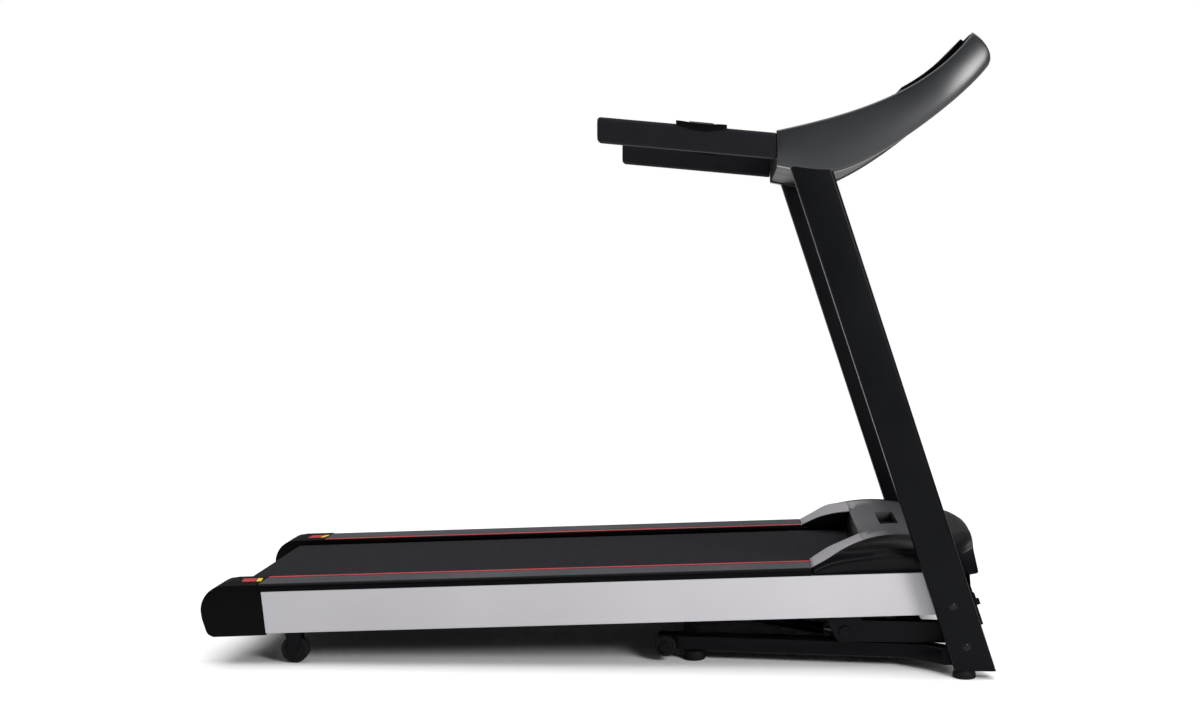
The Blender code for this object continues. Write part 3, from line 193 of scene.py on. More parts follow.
# %% One finish for each slot
GRAINED = {"cells": True, "depth": 0.0002}
GLOSSY = {"cells": True, "depth": 0.00015}
FINISH = {
    "black_paint": finish(
        "black_powder_coat", (0.0014, 0.0016, 0.0024), (0.0028, 0.0031, 0.0042), (0.3, 0.42), 0.12, 700,
        patch=9, gleam=0.07),
    "silver_cover": finish(
        "silver_lacquer", (0.375, 0.365, 0.385), (0.445, 0.435, 0.455), (0.36, 0.46), 0.05, 1600, patch=3,
        metal=0.12, gleam=0.4),
    "dark_plastic": finish(
        "black_moulded_plastic", (0.0008, 0.0008, 0.0011), (0.0018, 0.0018, 0.0022), (0.34, 0.48), 0.2, 1300,
        gleam=0.05, **GRAINED),
    "gray_plastic": finish(
        "gray_moulded_plastic", (0.048, 0.049, 0.055), (0.07, 0.071, 0.078), (0.45, 0.58), 0.2, 1300,
        gleam=0.12, **GRAINED),
    "console_plastic": finish(
        "console_satin_plastic", (0.0075, 0.0083, 0.01), (0.012, 0.013, 0.015), (0.27, 0.36), 0.12, 1500,
        patch=4, gleam=0.5, **GLOSSY),
    "foam": finish(
        "handle_foam", (0.0042, 0.0044, 0.006), (0.0085, 0.0086, 0.0106), (0.72, 0.92), 0.55, 750, cells=True,
        depth=0.0006, sheen=0.05, patch=14, gleam=0.08),
    "rubber": finish(
        "black_rubber", (0.004, 0.004, 0.0044), (0.009, 0.009, 0.0095), (0.55, 0.75), 0.3, 500, gleam=0.1),
    "belt": finish(
        "running_belt_weave", (0.003, 0.003, 0.0042), (0.025, 0.0245, 0.029), (0.62, 0.85), 0.9, 480,
        cells=True, depth=0.0009, patch=260, gleam=0.05),
    "steel": finish(
        "zinc_plated_steel", (0.38, 0.38, 0.4), (0.56, 0.56, 0.58), (0.24, 0.42), 0.15, 260, metal=1.0,
        stretch=(1, 0.15, 1)),
    "dark_steel": finish(
        "black_oxide_steel", (0.003, 0.003, 0.0034), (0.007, 0.007, 0.0078), (0.2, 0.32), 0.12, 320,
        metal=0.5, gleam=0.4),
    "wood": finish(
        "board_laminate", (0.016, 0.012, 0.009), (0.034, 0.025, 0.018), (0.45, 0.62), 0.35, 160,
        stretch=(0.12, 1, 1), patch=30),
    "screen": finish(
        "display_window", (0.003, 0.0035, 0.005), (0.005, 0.0055, 0.0075), (0.06, 0.12), 0.02, 400, coat=0.6),
    "red_plastic": finish(
        "red_plastic", (0.36, 0.022, 0.028), (0.46, 0.034, 0.038), (0.3, 0.42), 0.1, 1200, coat=0.1,
        gleam=0.3, **GLOSSY),
    "green_plastic": finish(
        "green_plastic", (0.03, 0.28, 0.075), (0.045, 0.36, 0.1), (0.3, 0.42), 0.1, 1200, coat=0.2, **GLOSSY),
    "display_light": finish("display_light", (0.62, 0.1, 0.06), (0.7, 0.13, 0.08), (0.4, 0.5), 0.02, 600),
    "yellow_film": finish("yellow_film", (0.6, 0.44, 0.035), (0.68, 0.5, 0.045), (0.38, 0.5), 0.05, 900),
}
print("finishes:", sorted(FINISH))

# %% [markdown]
# ## How the surfaces are made
# Most pieces of this machine are extrusions, bent tubes or shallow mouldings. An extrusion is one closed
# section carried along a path, and a moulding is a sheet with two parameters. Both are grids of points, so
# a few small helpers join the grid's points into faces.


# %% Grids of points become faces
def tile(rows, columns, wrap_rows=False, wrap_columns=False):
    """Four-cornered faces between neighbours of a grid, numbered row by row; a wrapped side meets itself."""
    i, j = np.mgrid[:rows - (not wrap_rows), :columns - (not wrap_columns)]
    down, right = (i + 1) % rows, (j + 1) % columns
    corners = [i * columns + j, i * columns + right, down * columns + right, down * columns + j]
    return np.stack(corners, -1).reshape(-1, 4)


def tube(rings, looks, ends=None):
    """Closed rings joined in order, with a flat face over each end: (points, faces, one finish a face)."""
    rings = np.asarray(rings, float)
    rows, columns = rings.shape[:2]
    sides = tile(rows, columns, wrap_columns=True)
    faces = sides.tolist() + [list(range(columns)), list(range((rows - 1) * columns, rows * columns))]
    if isinstance(looks, str):
        looks, ends = [looks] * columns, ends or looks
    return rings.reshape(-1, 3), faces, list(looks) * (rows - 1) + [ends, ends]


def loop(rings, look):
    """Closed rings joined in order, the last one to the first, as on an endless belt."""
    rings = np.asarray(rings, float)
    faces = tile(*rings.shape[:2], wrap_rows=True, wrap_columns=True).tolist()
    return rings.reshape(-1, 3), faces, [look] * len(faces)


def shell(outer, inner, look):
    """Two sheets of the same grid joined all round their rim into one closed solid."""
    rows, columns = outer.shape[:2]
    first, last = np.arange(columns - 1), (rows - 1) * columns
    rim = np.concatenate([first, np.arange(rows - 1) * columns + columns - 1, last + columns - 1 - first,
                          np.arange(rows - 1, 0, -1) * columns])
    after, size = np.roll(rim, -1), rows * columns
    sheet = tile(rows, columns)
    wall = np.stack([rim, after, after + size, rim + size], -1)
    faces = np.concatenate([sheet, sheet[:, ::-1] + size, wall]).tolist()
    return np.concatenate([outer.reshape(-1, 3), inner.reshape(-1, 3)]), faces, [look] * len(faces)


# %% Parts become a piece of the machine
def box_corners(node):
    """The lower and the upper corner of a node's box, as arrays."""
    return (np.array(corner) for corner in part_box(node))


SIDES = (("left", 1), ("right", -1))
SLOT_OF = {part["node"]: part["material_slot"] for part in frame["record"]["subparts"]}
BODY_OF = {node: body for body, nodes in frame["record"]["behaviour"]["bodies"].items() for node in nodes}


def shade(mesh, sharp):
    """Smooth shading, with a crease where two faces turn by more than sharp degrees."""
    mesh.polygons.foreach_set("use_smooth", np.ones(len(mesh.polygons), bool))
    mesh.set_sharp_from_angle(angle=np.radians(sharp))


def finish_mesh(mesh, sharp, loose=False):
    """Joins loose triangles again if asked, turns every closed part's faces outwards, then shades them."""
    work = bmesh.new()
    work.from_mesh(mesh)
    if loose:
        bmesh.ops.remove_doubles(work, verts=work.verts, dist=2e-5)
        bmesh.ops.dissolve_limit(work, angle_limit=np.radians(0.6), verts=work.verts, edges=work.edges)
    bmesh.ops.recalc_face_normals(work, faces=work.faces)
    work.to_mesh(mesh)
    work.free()
    shade(mesh, sharp)


def stand_in(name, mesh, node, edge):
    """An object in a node's place and on its body; edges over 40 degrees are rounded by edge."""
    obj = add_object(name, mesh)
    if edge:
        rounding = obj.modifiers.new("rounded_edges", "BEVEL")
        rounding.width, rounding.segments = edge, 2
        rounding.limit_method, rounding.angle_limit = "ANGLE", np.radians(40)
        rounding.harden_normals = True
    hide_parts(node)
    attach(obj, BODY_OF[node])
    return obj


def piece(name, parts, node, edge=0.0, sharp=32.0):
    """One object from several (points, faces, finishes) parts, standing for a node and riding on its body."""
    points = np.concatenate([part[0] for part in parts])
    starts = np.cumsum([0] + [len(part[0]) for part in parts])
    faces = [[corner + start for corner in face] for part, start in zip(parts, starts) for face in part[1]]
    looks = [look for part in parts for look in part[2]]
    mesh = bpy.data.meshes.new(name)
    mesh.from_pydata(points.tolist(), [], faces)
    used = sorted(set(looks))
    for look in used:
        mesh.materials.append(FINISH[look])
    mesh.polygons.foreach_set("material_index", np.array([used.index(look) for look in looks], np.int32))
    finish_mesh(mesh, sharp)
    obj = stand_in(name, mesh, node, edge)
    print(f"{name}: {len(points)} points, {len(faces)} faces, on {BODY_OF[node]}")
    return obj


# %% [markdown]
# ## Sections and smooth lines
# A rolled steel tube has rounded corners, so its section is a rectangle with a quarter circle at each
# corner. Long curves are drawn through a few known points, by a cubic between each two of them.


# %% Helpers for sections and curves
def rounded_section(width, height, radius, steps=6):
    """Rectangle with a quarter circle at each corner, counter-clockwise, as rows of (across, up)."""
    turn = np.linspace(0, np.pi / 2, steps)
    angle = (turn[None, :] + np.arange(4)[:, None] * np.pi / 2).reshape(-1)
    sign = np.repeat(np.array([(1, 1), (-1, 1), (-1, -1), (1, -1)]), steps, axis=0)
    centre = sign * (np.array([width, height]) / 2 - radius)
    return centre + radius * np.column_stack([np.cos(angle), np.sin(angle)])


def flow(x, xs, ys):
    """Smooth line through (xs, ys): between two points a cubic whose slopes come from their neighbours."""
    x, xs, ys = np.asarray(x, float), np.asarray(xs, float), np.asarray(ys, float)
    slopes = np.gradient(ys, xs)
    k = np.clip(np.searchsorted(xs, x) - 1, 0, len(xs) - 2)
    gap = xs[k + 1] - xs[k]
    t = np.clip((x - xs[k]) / gap, 0, 1)
    start, end = (1 + 2 * t) * (1 - t) ** 2, t * t * (3 - 2 * t)
    leave, arrive = t * (1 - t) ** 2 * gap * slopes[k], t * t * (1 - t) * gap * slopes[k + 1]
    return start * ys[k] + leave + end * ys[k + 1] - arrive


def distances(path):
    """How far along a path each of its points lies."""
    return np.concatenate([[0], np.cumsum(np.linalg.norm(np.diff(path, axis=0), axis=1))])


def through(points, count):
    """Smooth path through a few points, by the distance along their straight joins."""
    points = np.asarray(points, float)
    far = distances(points)
    at = np.linspace(0, far[-1], count)
    return np.stack([flow(at, far, points[:, axis]) for axis in range(points.shape[1])], -1)


def bezier(ends, t):
    """Cubic curve: the four points weighted by the four products of t and one minus t."""
    t, ends = np.asarray(t, float)[..., None], np.asarray(ends, float)
    back = 1 - t
    return back**3 * ends[0] + 3 * back**2 * t * ends[1] + 3 * back * t**2 * ends[2] + t**3 * ends[3]


def inset(outline, by):
    """Closed outline moved inwards by a distance, each corner along the middle of its two sides' normals."""
    outline = np.asarray(outline, float)
    way = outline - np.roll(outline, 1, axis=0)
    way /= np.linalg.norm(way, axis=1)[:, None]
    nxt = np.roll(way, -1, axis=0)
    normal = np.column_stack([-way[:, 1] - nxt[:, 1], way[:, 0] + nxt[:, 0]])
    normal /= np.maximum(1 + (way * nxt).sum(1), 0.35)[:, None]
    area = (outline[:, 0] * np.roll(outline[:, 1], -1) - np.roll(outline[:, 0], -1) * outline[:, 1]).sum()
    return outline + normal * by * np.sign(area)


def cushion_rings(outline, low, high, radius):
    """Outline carried from low to high, drawn in at both ends along a quarter circle: rows of (x, z, y)."""
    turn = np.linspace(0, np.pi / 2, 5)
    depth = np.concatenate([low + radius * (1 - np.sin(turn[::-1])), high - radius * (1 - np.sin(turn))])
    shrink = radius * (1 - np.cos(np.concatenate([turn[::-1], turn])))
    rings = [np.column_stack([inset(outline, s), np.full(len(outline), d)]) for s, d in zip(shrink, depth)]
    return np.array(rings)


def lathe(profile, centre, axis="y", count=40):
    """Profile of (radius, height along the axis) turned round a full circle about a line along that axis."""
    profile, turn = np.asarray(profile, float), np.linspace(0, 2 * np.pi, count, endpoint=False)
    radius, height = profile[:, 0][:, None], np.repeat(profile[:, 1][:, None], count, axis=1)
    across, up = radius * np.cos(turn), radius * np.sin(turn)
    rings = np.stack([across, height, up] if axis == "y" else [across, up, height], -1)
    return rings + np.asarray(centre, float)


# %% [markdown]
# ## Every node gets its finish
# Welded frames and hidden pieces, such as the rollers and the motor, keep the frame's shape. Its meshes
# are loose triangles with hard edges, so each one is copied, its triangles are joined again, and a bevel
# rounds most of them by about a millimetre. The bigger visible pieces are made anew further down.


# %% Soften the frame's own shapes
def soften(node, name, edge, look=None):
    """A copy of a node with its triangles joined, flat faces merged, and its edges rounded by edge metres."""
    mesh = frame["nodes"][node].data.copy()
    mesh.name = name
    mesh.materials.clear()
    mesh.materials.append(FINISH[look or SLOT_OF[node]])
    finish_mesh(mesh, 35.0, loose=True)
    stand_in(name, mesh, node, edge)


for node, obj in frame["nodes"].items():
    obj.data.materials.clear()
    obj.data.materials.append(FINISH[SLOT_OF[node]])

SOFTENED = {
    "base_frame": 0.0012, "handlebar_frame": 0.001, "lift_frame": 0.0012, "fold_shaft": 0.0008,
    "deck_frame": 0.0, "console_face": 0.0008, "console_back": 0.0008, "display_housing": 0.002,
    "running_board": 0.001, "front_roller": 0.0004, "rear_roller": 0.0004, "drive_motor": 0.001,
    "motor_pulley": 0.0004, "drive_belt": 0.0004, "motor_controller": 0.0015, "belly_pan": 0.0004,
    "power_panel": 0.001, "power_inlet": 0.0004, "power_switch": 0.0004, "reset_button": 0.0004,
    "incline_motor": 0.001, "incline_screw": 0.0004, "strut_rod": 0.0003, "strut_cylinder": 0.0006,
}
for node, edge in SOFTENED.items():
    soften(node, node + "_finished", edge, "dark_plastic" if node in ("reset_button", "console_back") else None)
print("softened:", len(SOFTENED), "of", len(frame["nodes"]), "nodes")

# %% [markdown]
# ## The two uprights
# Each upright is an 80 by 40 mm steel tube that leans back over the deck and is cut level at both ends.
# Its section has rounded corners and is carried along the lean; a dark plastic plug closes each end.

# %% Uprights
POST_DEEP, POST_WIDE, POST_LEAN, POST_Y = 0.08, 0.04, np.radians(18.4), 0.35
for side, s in SIDES:
    low, high = box_corners("upright_" + side)
    length = POST_DEEP / np.cos(POST_LEAN)
    heights = np.array([low[2], low[2] + 0.004, high[2] - 0.004, high[2]])
    section = rounded_section(length, POST_WIDE, 0.0075, 8)
    middle_x = high[0] - length / 2 - (heights - low[2]) * np.tan(POST_LEAN)
    rings = [np.column_stack([x + section[:, 0], s * POST_Y + section[:, 1], np.full(len(section), z)])
             for x, z in zip(middle_x, heights)]
    piece("upright_tube_" + side, [tube(rings, "black_paint", "dark_plastic")], "upright_" + side)

# %% [markdown]
# ## The deck and its own directions
# The deck lies 2.2 degrees nose-up, so its pieces are drawn in its own directions, u along it from the
# rear end and w above its underside, and their points are then turned into place.


# %% From the deck's directions to the room's
SLOPE = np.radians(2.2)
DECK_REAR = (-0.8345, 0.0613)


def deck(u, y, w):
    """Points along, across and above the deck, turned by its slope and moved to its rear end: (x, y, z)."""
    u, y, w = np.broadcast_arrays(np.asarray(u, float), y, w)
    x = DECK_REAR[0] + u * np.cos(SLOPE) - w * np.sin(SLOPE)
    return np.stack([x, y, DECK_REAR[1] + u * np.sin(SLOPE) + w * np.cos(SLOPE)], -1)


def deck_bar(section, start, end):
    """A section of (y, w) carried along the deck from start to end; either may differ from point to point."""
    y, w = np.asarray(section, float).T
    return np.stack([deck(start, y, w), deck(end, y, w)])


def deck_panel(line, across, depth):
    """A line of (u, w) drawn straight across the deck, and made solid by this depth, also (u, w)."""
    sheets = [deck(edge[:, :1], across, edge[:, 1:]) for edge in (line, line + depth)]
    return shell(*sheets, "dark_plastic")


# %% [markdown]
# ## Side covers and foot rails
# The long silver covers are aluminium extrusions with a lip above and below, cut off at a slant where the
# rear cap meets them. The foot rail that lies on top is an extrusion of its own: a rounded outer edge, a
# ribbed grey strip for the shoe, and a red line beside the belt. Each side of its section has a colour.

# %% Side covers
for side, s in SIDES:
    section = np.array([(0.32, 0.002), (0.32, 0.091), (0.305, 0.091), (0.305, 0.0885), (0.3175, 0.0885),
                        (0.3175, 0.0045), (0.305, 0.0045), (0.305, 0.002)]) * (s, 1)
    slant = 0.14 - 0.006 * (section[:, 1] - 0.002) / 0.089
    piece("side_extrusion_" + side, [tube(deck_bar(section, slant, 1.6), "silver_cover")],
          "side_cover_" + side, edge=0.0007)

# %% Foot rails
RIB_COUNT, RIB_PITCH = 12, 0.0055
bend = np.linspace(0, np.pi / 2, 8)
outer_edge = np.column_stack([0.312 + 0.008 * np.cos(bend), 0.0986 + 0.008 * np.sin(bend)])
rib_start = 0.3115 - RIB_PITCH * np.arange(RIB_COUNT)
ribs = np.stack([rib_start - d for d in (0.0, 0.0036, 0.004, 0.0051)], -1).reshape(-1)
ribs = np.column_stack([ribs, np.tile([0.1068, 0.1068, 0.1061, 0.1061], RIB_COUNT)])
inner_edge = [(0.2455, 0.1066), (0.2408, 0.1066), (0.2404, 0.1068), (0.23, 0.1068), (0.2296, 0.1065),
              (0.228, 0.1065), (0.2262, 0.1058), (0.225, 0.104), (0.225, 0.0968), (0.228, 0.0913)]
rail_section = np.concatenate([[(0.32, 0.0913)], outer_edge, ribs, inner_edge])
rail_looks = np.full(len(rail_section), "dark_plastic", dtype=object)
first_rib = 1 + len(outer_edge)
last_rib = first_rib + len(ribs)
rail_looks[first_rib:last_rib] = "gray_plastic"
rail_looks[last_rib + 1:last_rib + 4] = "red_plastic"
for side, s in SIDES:
    rings = deck_bar(rail_section * (s, 1), 0.1276, 1.2969)
    piece("foot_rail_strip_" + side, [tube(rings, rail_looks, "dark_plastic")], "foot_rail_" + side, sharp=50)

# %% [markdown]
# ## Rear caps
# Each rear corner ends in a blunt moulded cap: a bulging back, a flat top, and a slanted joint with the
# silver cover. Its outline is drawn once from the side and carried across, drawn in at both sides so
# that the edges are round. A small two-coloured patch on top is a thin plate of its own.

# %% Rear caps
back = through([(0.027, -0.003), (0.016, 0.003), (0.0085, 0.022), (0.0035, 0.042), (0.0028, 0.06),
                (0.009, 0.079), (0.021, 0.094), (0.038, 0.104), (0.06, 0.1073)], 40)
cap_line = np.concatenate([[(0.1395, -0.002)], back, [(0.127, 0.1073), (0.127, 0.0907), (0.1335, 0.0907)]])
for side, s in SIDES:
    low, high = sorted((s * 0.2222, s * 0.321))
    rings = cushion_rings(cap_line, low, high, 0.0028)
    parts = [tube(deck(rings[..., 0], rings[..., 2], rings[..., 1]), "dark_plastic")]
    for look, start, end in (("red_plastic", 0.08, 0.1095), ("yellow_film", 0.1115, 0.1225)):
        patch = rounded_section(end - start, 0.034, 0.002, 4)
        at_u, at_y = (start + end) / 2 + patch[:, 0] + 0.18 * s * patch[:, 1], s * 0.268 + patch[:, 1]
        parts.append(tube(np.stack([deck(at_u, at_y, 0.107), deck(at_u, at_y, 0.1076)]), look))
    piece("rear_corner_" + side, parts, "rear_cap_" + side)

# %% [markdown]
# ## The guard between the rear caps
# A bent strip of plastic covers the belt's rear turn from behind and below. It sits a little in front of
# the caps' rounded backs, so both caps stand proud of it. It is a curve drawn straight across the deck.

# %% Rear guard
guard = through([(0.062, 0.0045), (0.044, 0.0065), (0.034, 0.016), (0.03, 0.032), (0.03, 0.05),
                 (0.035, 0.065), (0.045, 0.0765)], 26)
way = np.gradient(guard, axis=0)
normal = np.column_stack([way[:, 1], -way[:, 0]]) / np.linalg.norm(way, axis=1)[:, None]
across = np.array([-0.2214, -0.2205, -0.11, 0.0, 0.11, 0.2205, 0.2214])
piece("rear_guard_strip", [deck_panel(guard, across, 0.0028 * normal)], "rear_guard", sharp=45)

# %% [markdown]
# ## The running belt
# The belt is an endless band of woven PVC, two millimetres thick, round both rollers. Its path is two half
# circles joined by straights, and its small section is carried round that path until it meets itself.

# %% Running belt
BELT_FRONT, BELT_REAR, BELT_HIGH, BELT_TURN = 1.43, 0.075, 0.07, 0.0237
turn = np.linspace(-np.pi / 2, np.pi / 2, 17)
out_u, out_w = np.concatenate([np.cos(turn), -np.cos(turn)]), np.concatenate([np.sin(turn), -np.sin(turn)])
path_u = np.repeat([BELT_FRONT, BELT_REAR], len(turn)) + BELT_TURN * out_u
path_w = BELT_HIGH + BELT_TURN * out_w
band = rounded_section(0.43, 0.002, 0.0009, 4)
rings = deck(path_u[:, None] + out_u[:, None] * band[:, 1], np.tile(band[:, 0], (len(path_u), 1)),
             path_w[:, None] + out_w[:, None] * band[:, 1])
piece("running_belt_loop", [loop(rings, "belt")], "running_belt")

# %% [markdown]
# ## The motor hood
# The hood is one thin moulding. Two grey arms slope down to the foot rails on each side of the belt, and
# between them the mouth drops to the belt. Behind it the dark body rises to a low crown with an air vent,
# its sides step in above a ledge, and the nose falls steeply to the front. It is drawn as one open sheet,
# from stations along the deck: the widths and heights are smooth lines through a few known points.
# Solidify then gives the moulding its wall. How grey each point is travels with it as an attribute: on the
# arms it is the plastic's own grey, and over the body's top it fades from the back edge to the nose as a
# painted gradient of light.

# %% Lines along the hood
SHOULDER = ((1.2975, 1.33, 1.361, 1.393, 1.425, 1.46, 1.5, 1.55, 1.59, 1.625, 1.643, 1.654),
            (0.311, 0.31, 0.301, 0.274, 0.257, 0.247, 0.24, 0.216, 0.186, 0.15, 0.122, 0.092),
            (0.107, 0.1235, 0.1405, 0.1495, 0.156, 0.159, 0.158, 0.152, 0.1465, 0.143, 0.1415, 0.137))
INNER = ((1.2975, 1.34, 1.377, 1.41), (0.2185, 0.201, 0.182, 0.153), (0.108, 0.1295, 0.141, 0.1485))
LEDGE = ((1.2975, 1.336, 1.4, 1.49, 1.56, 1.6, 1.654),
         (0.0965, 0.113, 0.124, 0.13, 0.126, 0.121, 0.115))
WAIST = ((1.2975, 1.5, 1.54, 1.575, 1.605, 1.632, 1.654),
         (0.318, 0.318, 0.312, 0.294, 0.264, 0.222, 0.165))
CROWN = ((1.41, 1.46, 1.5, 1.55, 1.59, 1.625, 1.643, 1.654),
         (0.1485, 0.16, 0.161, 0.156, 0.151, 0.1475, 0.1455, 0.1405))
HOOD_LOW, HOOD_SIDE, NOSE_LOW = 0.0924, 0.318, 0.083
ARM_REAR, BODY_REAR, ARM_LONG, BODY_FRONT = 1.2975, 1.41, 0.1125, 1.654
MOUTH_HALF, MOUTH_LOW, MOUTH_FOOT, MOUTH_LEAN = 0.153, 0.0995, 0.186, 0.01
MOUTH_STEPS = np.array([0, 0.06, 0.5, 1])
FLANK_COLUMNS = 12


def hood_side(u):
    """Columns from the lower edge of a side, over its ledge and up the rounded flank to the shoulder."""
    ledge, wide, high = flow(u, *LEDGE), flow(u, SHOULDER[0], SHOULDER[1]), flow(u, SHOULDER[0], SHOULDER[2])
    half = flow(u, *WAIST)
    skirt = HOOD_SIDE - 0.03 * (np.maximum(0, u - 1.58) / 0.074) ** 2
    t = np.linspace(0, 1, FLANK_COLUMNS - 3)
    ends = [np.stack([half - 0.0045, ledge + 0.003], -1),
            np.stack([half - 0.0065, ledge * 0.5 + high * 0.5 + 0.004], -1),
            np.stack([wide * 0.45 + (half - 0.006) * 0.55, high + 0.0005], -1), np.stack([wide, high], -1)]
    flank = np.stack([bezier([end[i] for end in ends], t) for i in range(len(u))])
    foot = np.where(u > 1.603, 0.082, HOOD_LOW)
    low = np.stack([np.stack([skirt, half + 0.0015, half], -1), np.stack([foot, ledge - 0.004, ledge], -1)], -1)
    return np.concatenate([low, flank], axis=1)


def hood_arm(s):
    """One arm: the flank, the grey top that leans to the mouth, and the mouth's wall down to the belt."""
    u = np.linspace(ARM_REAR, BODY_REAR, 16)
    side = hood_side(u)
    inner = np.stack([flow(u, INNER[0], INNER[1]), flow(u, INNER[0], INNER[2])], -1)
    shoulder, share = side[:, -1], np.array([0.012, 0.25, 0.5, 0.75, 0.988])[:, None]
    crown = 0.0012 * np.sin(np.pi * share[:, 0])
    top = shoulder[:, None] * (1 - share) + inner[:, None] * share + np.stack([0 * crown, crown], -1)
    foot = np.stack([0.224 - (u - ARM_REAR) / ARM_LONG * 0.038, np.full_like(u, MOUTH_LOW)], -1)
    down = MOUTH_STEPS[:, None]
    drop = inner[:, None] * (1 - down) + foot[:, None] * down
    columns = np.concatenate([side, top, drop], axis=1)
    along = np.repeat(u[:, None], columns.shape[1], axis=1)
    along[:, -4:] -= (u - ARM_REAR)[:, None] * (MOUTH_STEPS * (MOUTH_LEAN / ARM_LONG))
    tone = np.concatenate([np.zeros(FLANK_COLUMNS), np.ones(5), [1, 0, 0, 0]])
    return deck(along, s * columns[..., 0], columns[..., 1]), np.tile(tone, (len(u), 1))


# %% The hood's body, its nose and the mouth's back wall
VENT_U, VENT_Y, VENT_DEEP = (1.456, 1.5), (-0.11, 0.05), 0.02
# How grey the back edge of the top and the rim of the mouth's back wall are painted: painted light.
BACK_EDGE_PAINTED_LIGHT = 0.34
step = 0.0008


def nose_bow(y):
    """How far the rounded front end stands forward at y, most in the middle."""
    return 0.004 - 0.015 * (y / HOOD_SIDE) ** 2


vent_u = [VENT_U[0], VENT_U[0] + 0.009, VENT_U[1] - step, VENT_U[1]]
u_body = np.unique(np.concatenate([np.linspace(BODY_REAR, 1.6, 20), np.linspace(1.6, BODY_FRONT, 12),
                                   [1.6025, 1.6035], vent_u]))
side = hood_side(u_body)
mouth_share = MOUTH_HALF / 0.257
shares = np.unique(np.concatenate([np.linspace(-1, 1, 15), [-mouth_share, mouth_share, -0.985, 0.985]]))
vent_lines = np.array([VENT_Y[0], VENT_Y[0] + step, VENT_Y[1] - step, VENT_Y[1]])
wide, high = side[:, -1, 0][:, None], side[:, -1, 1][:, None]
top_y = np.sort(np.concatenate([wide * shares, np.tile(vent_lines, (len(u_body), 1))], axis=1), axis=1)
rise = flow(u_body, *CROWN)[:, None] - high
top_w = high + rise * (1 - np.clip(np.abs(top_y) / wide, 0, 1) ** 2.4)
in_vent = ((u_body > VENT_U[0] + 0.005) & (u_body < VENT_U[1] - step / 2))[:, None]
in_vent = in_vent & (top_y > VENT_Y[0] + step / 2) & (top_y < VENT_Y[1] - step / 2)
top_w = top_w - VENT_DEEP * in_vent
body_y = np.concatenate([-side[..., 0], top_y[:, 1:-1], side[:, ::-1, 0]], axis=1)
body_w = np.concatenate([side[..., 1], top_w[:, 1:-1], side[:, ::-1, 1]], axis=1)
body_u = np.repeat(u_body[:, None], body_y.shape[1], axis=1)
flanks = np.zeros((len(u_body), FLANK_COLUMNS))
inside_top = np.concatenate([flanks, ~in_vent[:, 1:-1] * 1.0, flanks], axis=1)
gray_edge = np.clip(1 - (u_body - BODY_REAR) / 0.085, 0, 1)[:, None]
gray_edge = gray_edge * (np.abs(body_y) > wide * 0.955 - (1.495 - body_u) * 0.9)
# Painted light: the top is painted grey at its back edge and fades darker towards the nose.
painted_light_fade = np.interp(u_body, [BODY_REAR, 1.5, 1.6], [BACK_EDGE_PAINTED_LIGHT, 0.16, 0.03])[:, None]
body_tone = inside_top * np.maximum(painted_light_fade, gray_edge)
body_u += np.clip((body_u - 1.6) / 0.054, 0, 1) * nose_bow(body_y)
nose_y = np.repeat(body_y[-1][None] * 0.999, 3, axis=0)
nose_u = np.array([1.6548, 1.655, 1.6525])[:, None] + nose_bow(nose_y)
nose_w = np.stack([body_w[-1] - 0.003, body_w[-1] * 0.5 + 0.038, np.full(body_y.shape[1], NOSE_LOW)])
nose_w = np.minimum(nose_w, body_w[-1])
nose_w[:, [0, -1]] = NOSE_LOW
body_grid = deck(*(np.concatenate(rows) for rows in ((body_u, nose_u), (body_y, nose_y), (body_w, nose_w))))
body_tone = np.concatenate([body_tone, np.zeros((3, body_y.shape[1]))])
over_mouth = np.abs(body_y[0]) <= MOUTH_HALF + 0.0001
over_mouth[:FLANK_COLUMNS], over_mouth[-FLANK_COLUMNS:] = False, False
down = MOUTH_STEPS[:, None]
wall_y = body_y[0][over_mouth] * (1 + down * (MOUTH_FOOT / MOUTH_HALF - 1))
wall_w = body_w[0][over_mouth] * (1 - down) + MOUTH_LOW * down
wall_grid = deck(BODY_REAR - MOUTH_LEAN * down, wall_y, wall_w)
# The wall's top row takes the top's painted light at the back edge; the rest of the wall is the plastic's
# black.
wall_tone = np.where(down == 0, BACK_EDGE_PAINTED_LIGHT, 0.0) * np.ones_like(wall_y)
print("hood body", body_grid.shape, "mouth wall", wall_grid.shape)

# %% Join the sheets and give them a wall
grids = [(body_grid, body_tone), (wall_grid, wall_tone), hood_arm(1), hood_arm(-1)]
points = np.concatenate([grid.reshape(-1, 3) for grid, _ in grids])
tones = np.concatenate([tone.reshape(-1) for _, tone in grids])
faces, start = [], 0
for grid, _ in grids:
    faces.append(tile(*grid.shape[:2]) + start)
    start += grid.shape[0] * grid.shape[1]
hood_mesh = bpy.data.meshes.new("motor_hood_moulding")
hood_mesh.from_pydata(points.tolist(), [], np.concatenate(faces).tolist())
hood_mesh.attributes.new("tone", "FLOAT", "POINT").data.foreach_set("value", tones.astype(np.float32))
work = bmesh.new()
work.from_mesh(hood_mesh)
bmesh.ops.remove_doubles(work, verts=work.verts, dist=0.0003)
bmesh.ops.dissolve_degenerate(work, edges=work.edges, dist=1e-5)
bmesh.ops.recalc_face_normals(work, faces=work.faces)
if sum(face.normal.z * face.calc_area() for face in work.faces) < 0:
    bmesh.ops.reverse_faces(work, faces=work.faces)
work.to_mesh(hood_mesh)
work.free()
shade(hood_mesh, 38)
hood = add_object("motor_hood_moulding", hood_mesh)
wall = hood.modifiers.new("wall", "SOLIDIFY")
wall.thickness, wall.offset = 0.0025, -1
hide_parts("motor_hood")
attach(hood, BODY_OF["motor_hood"])
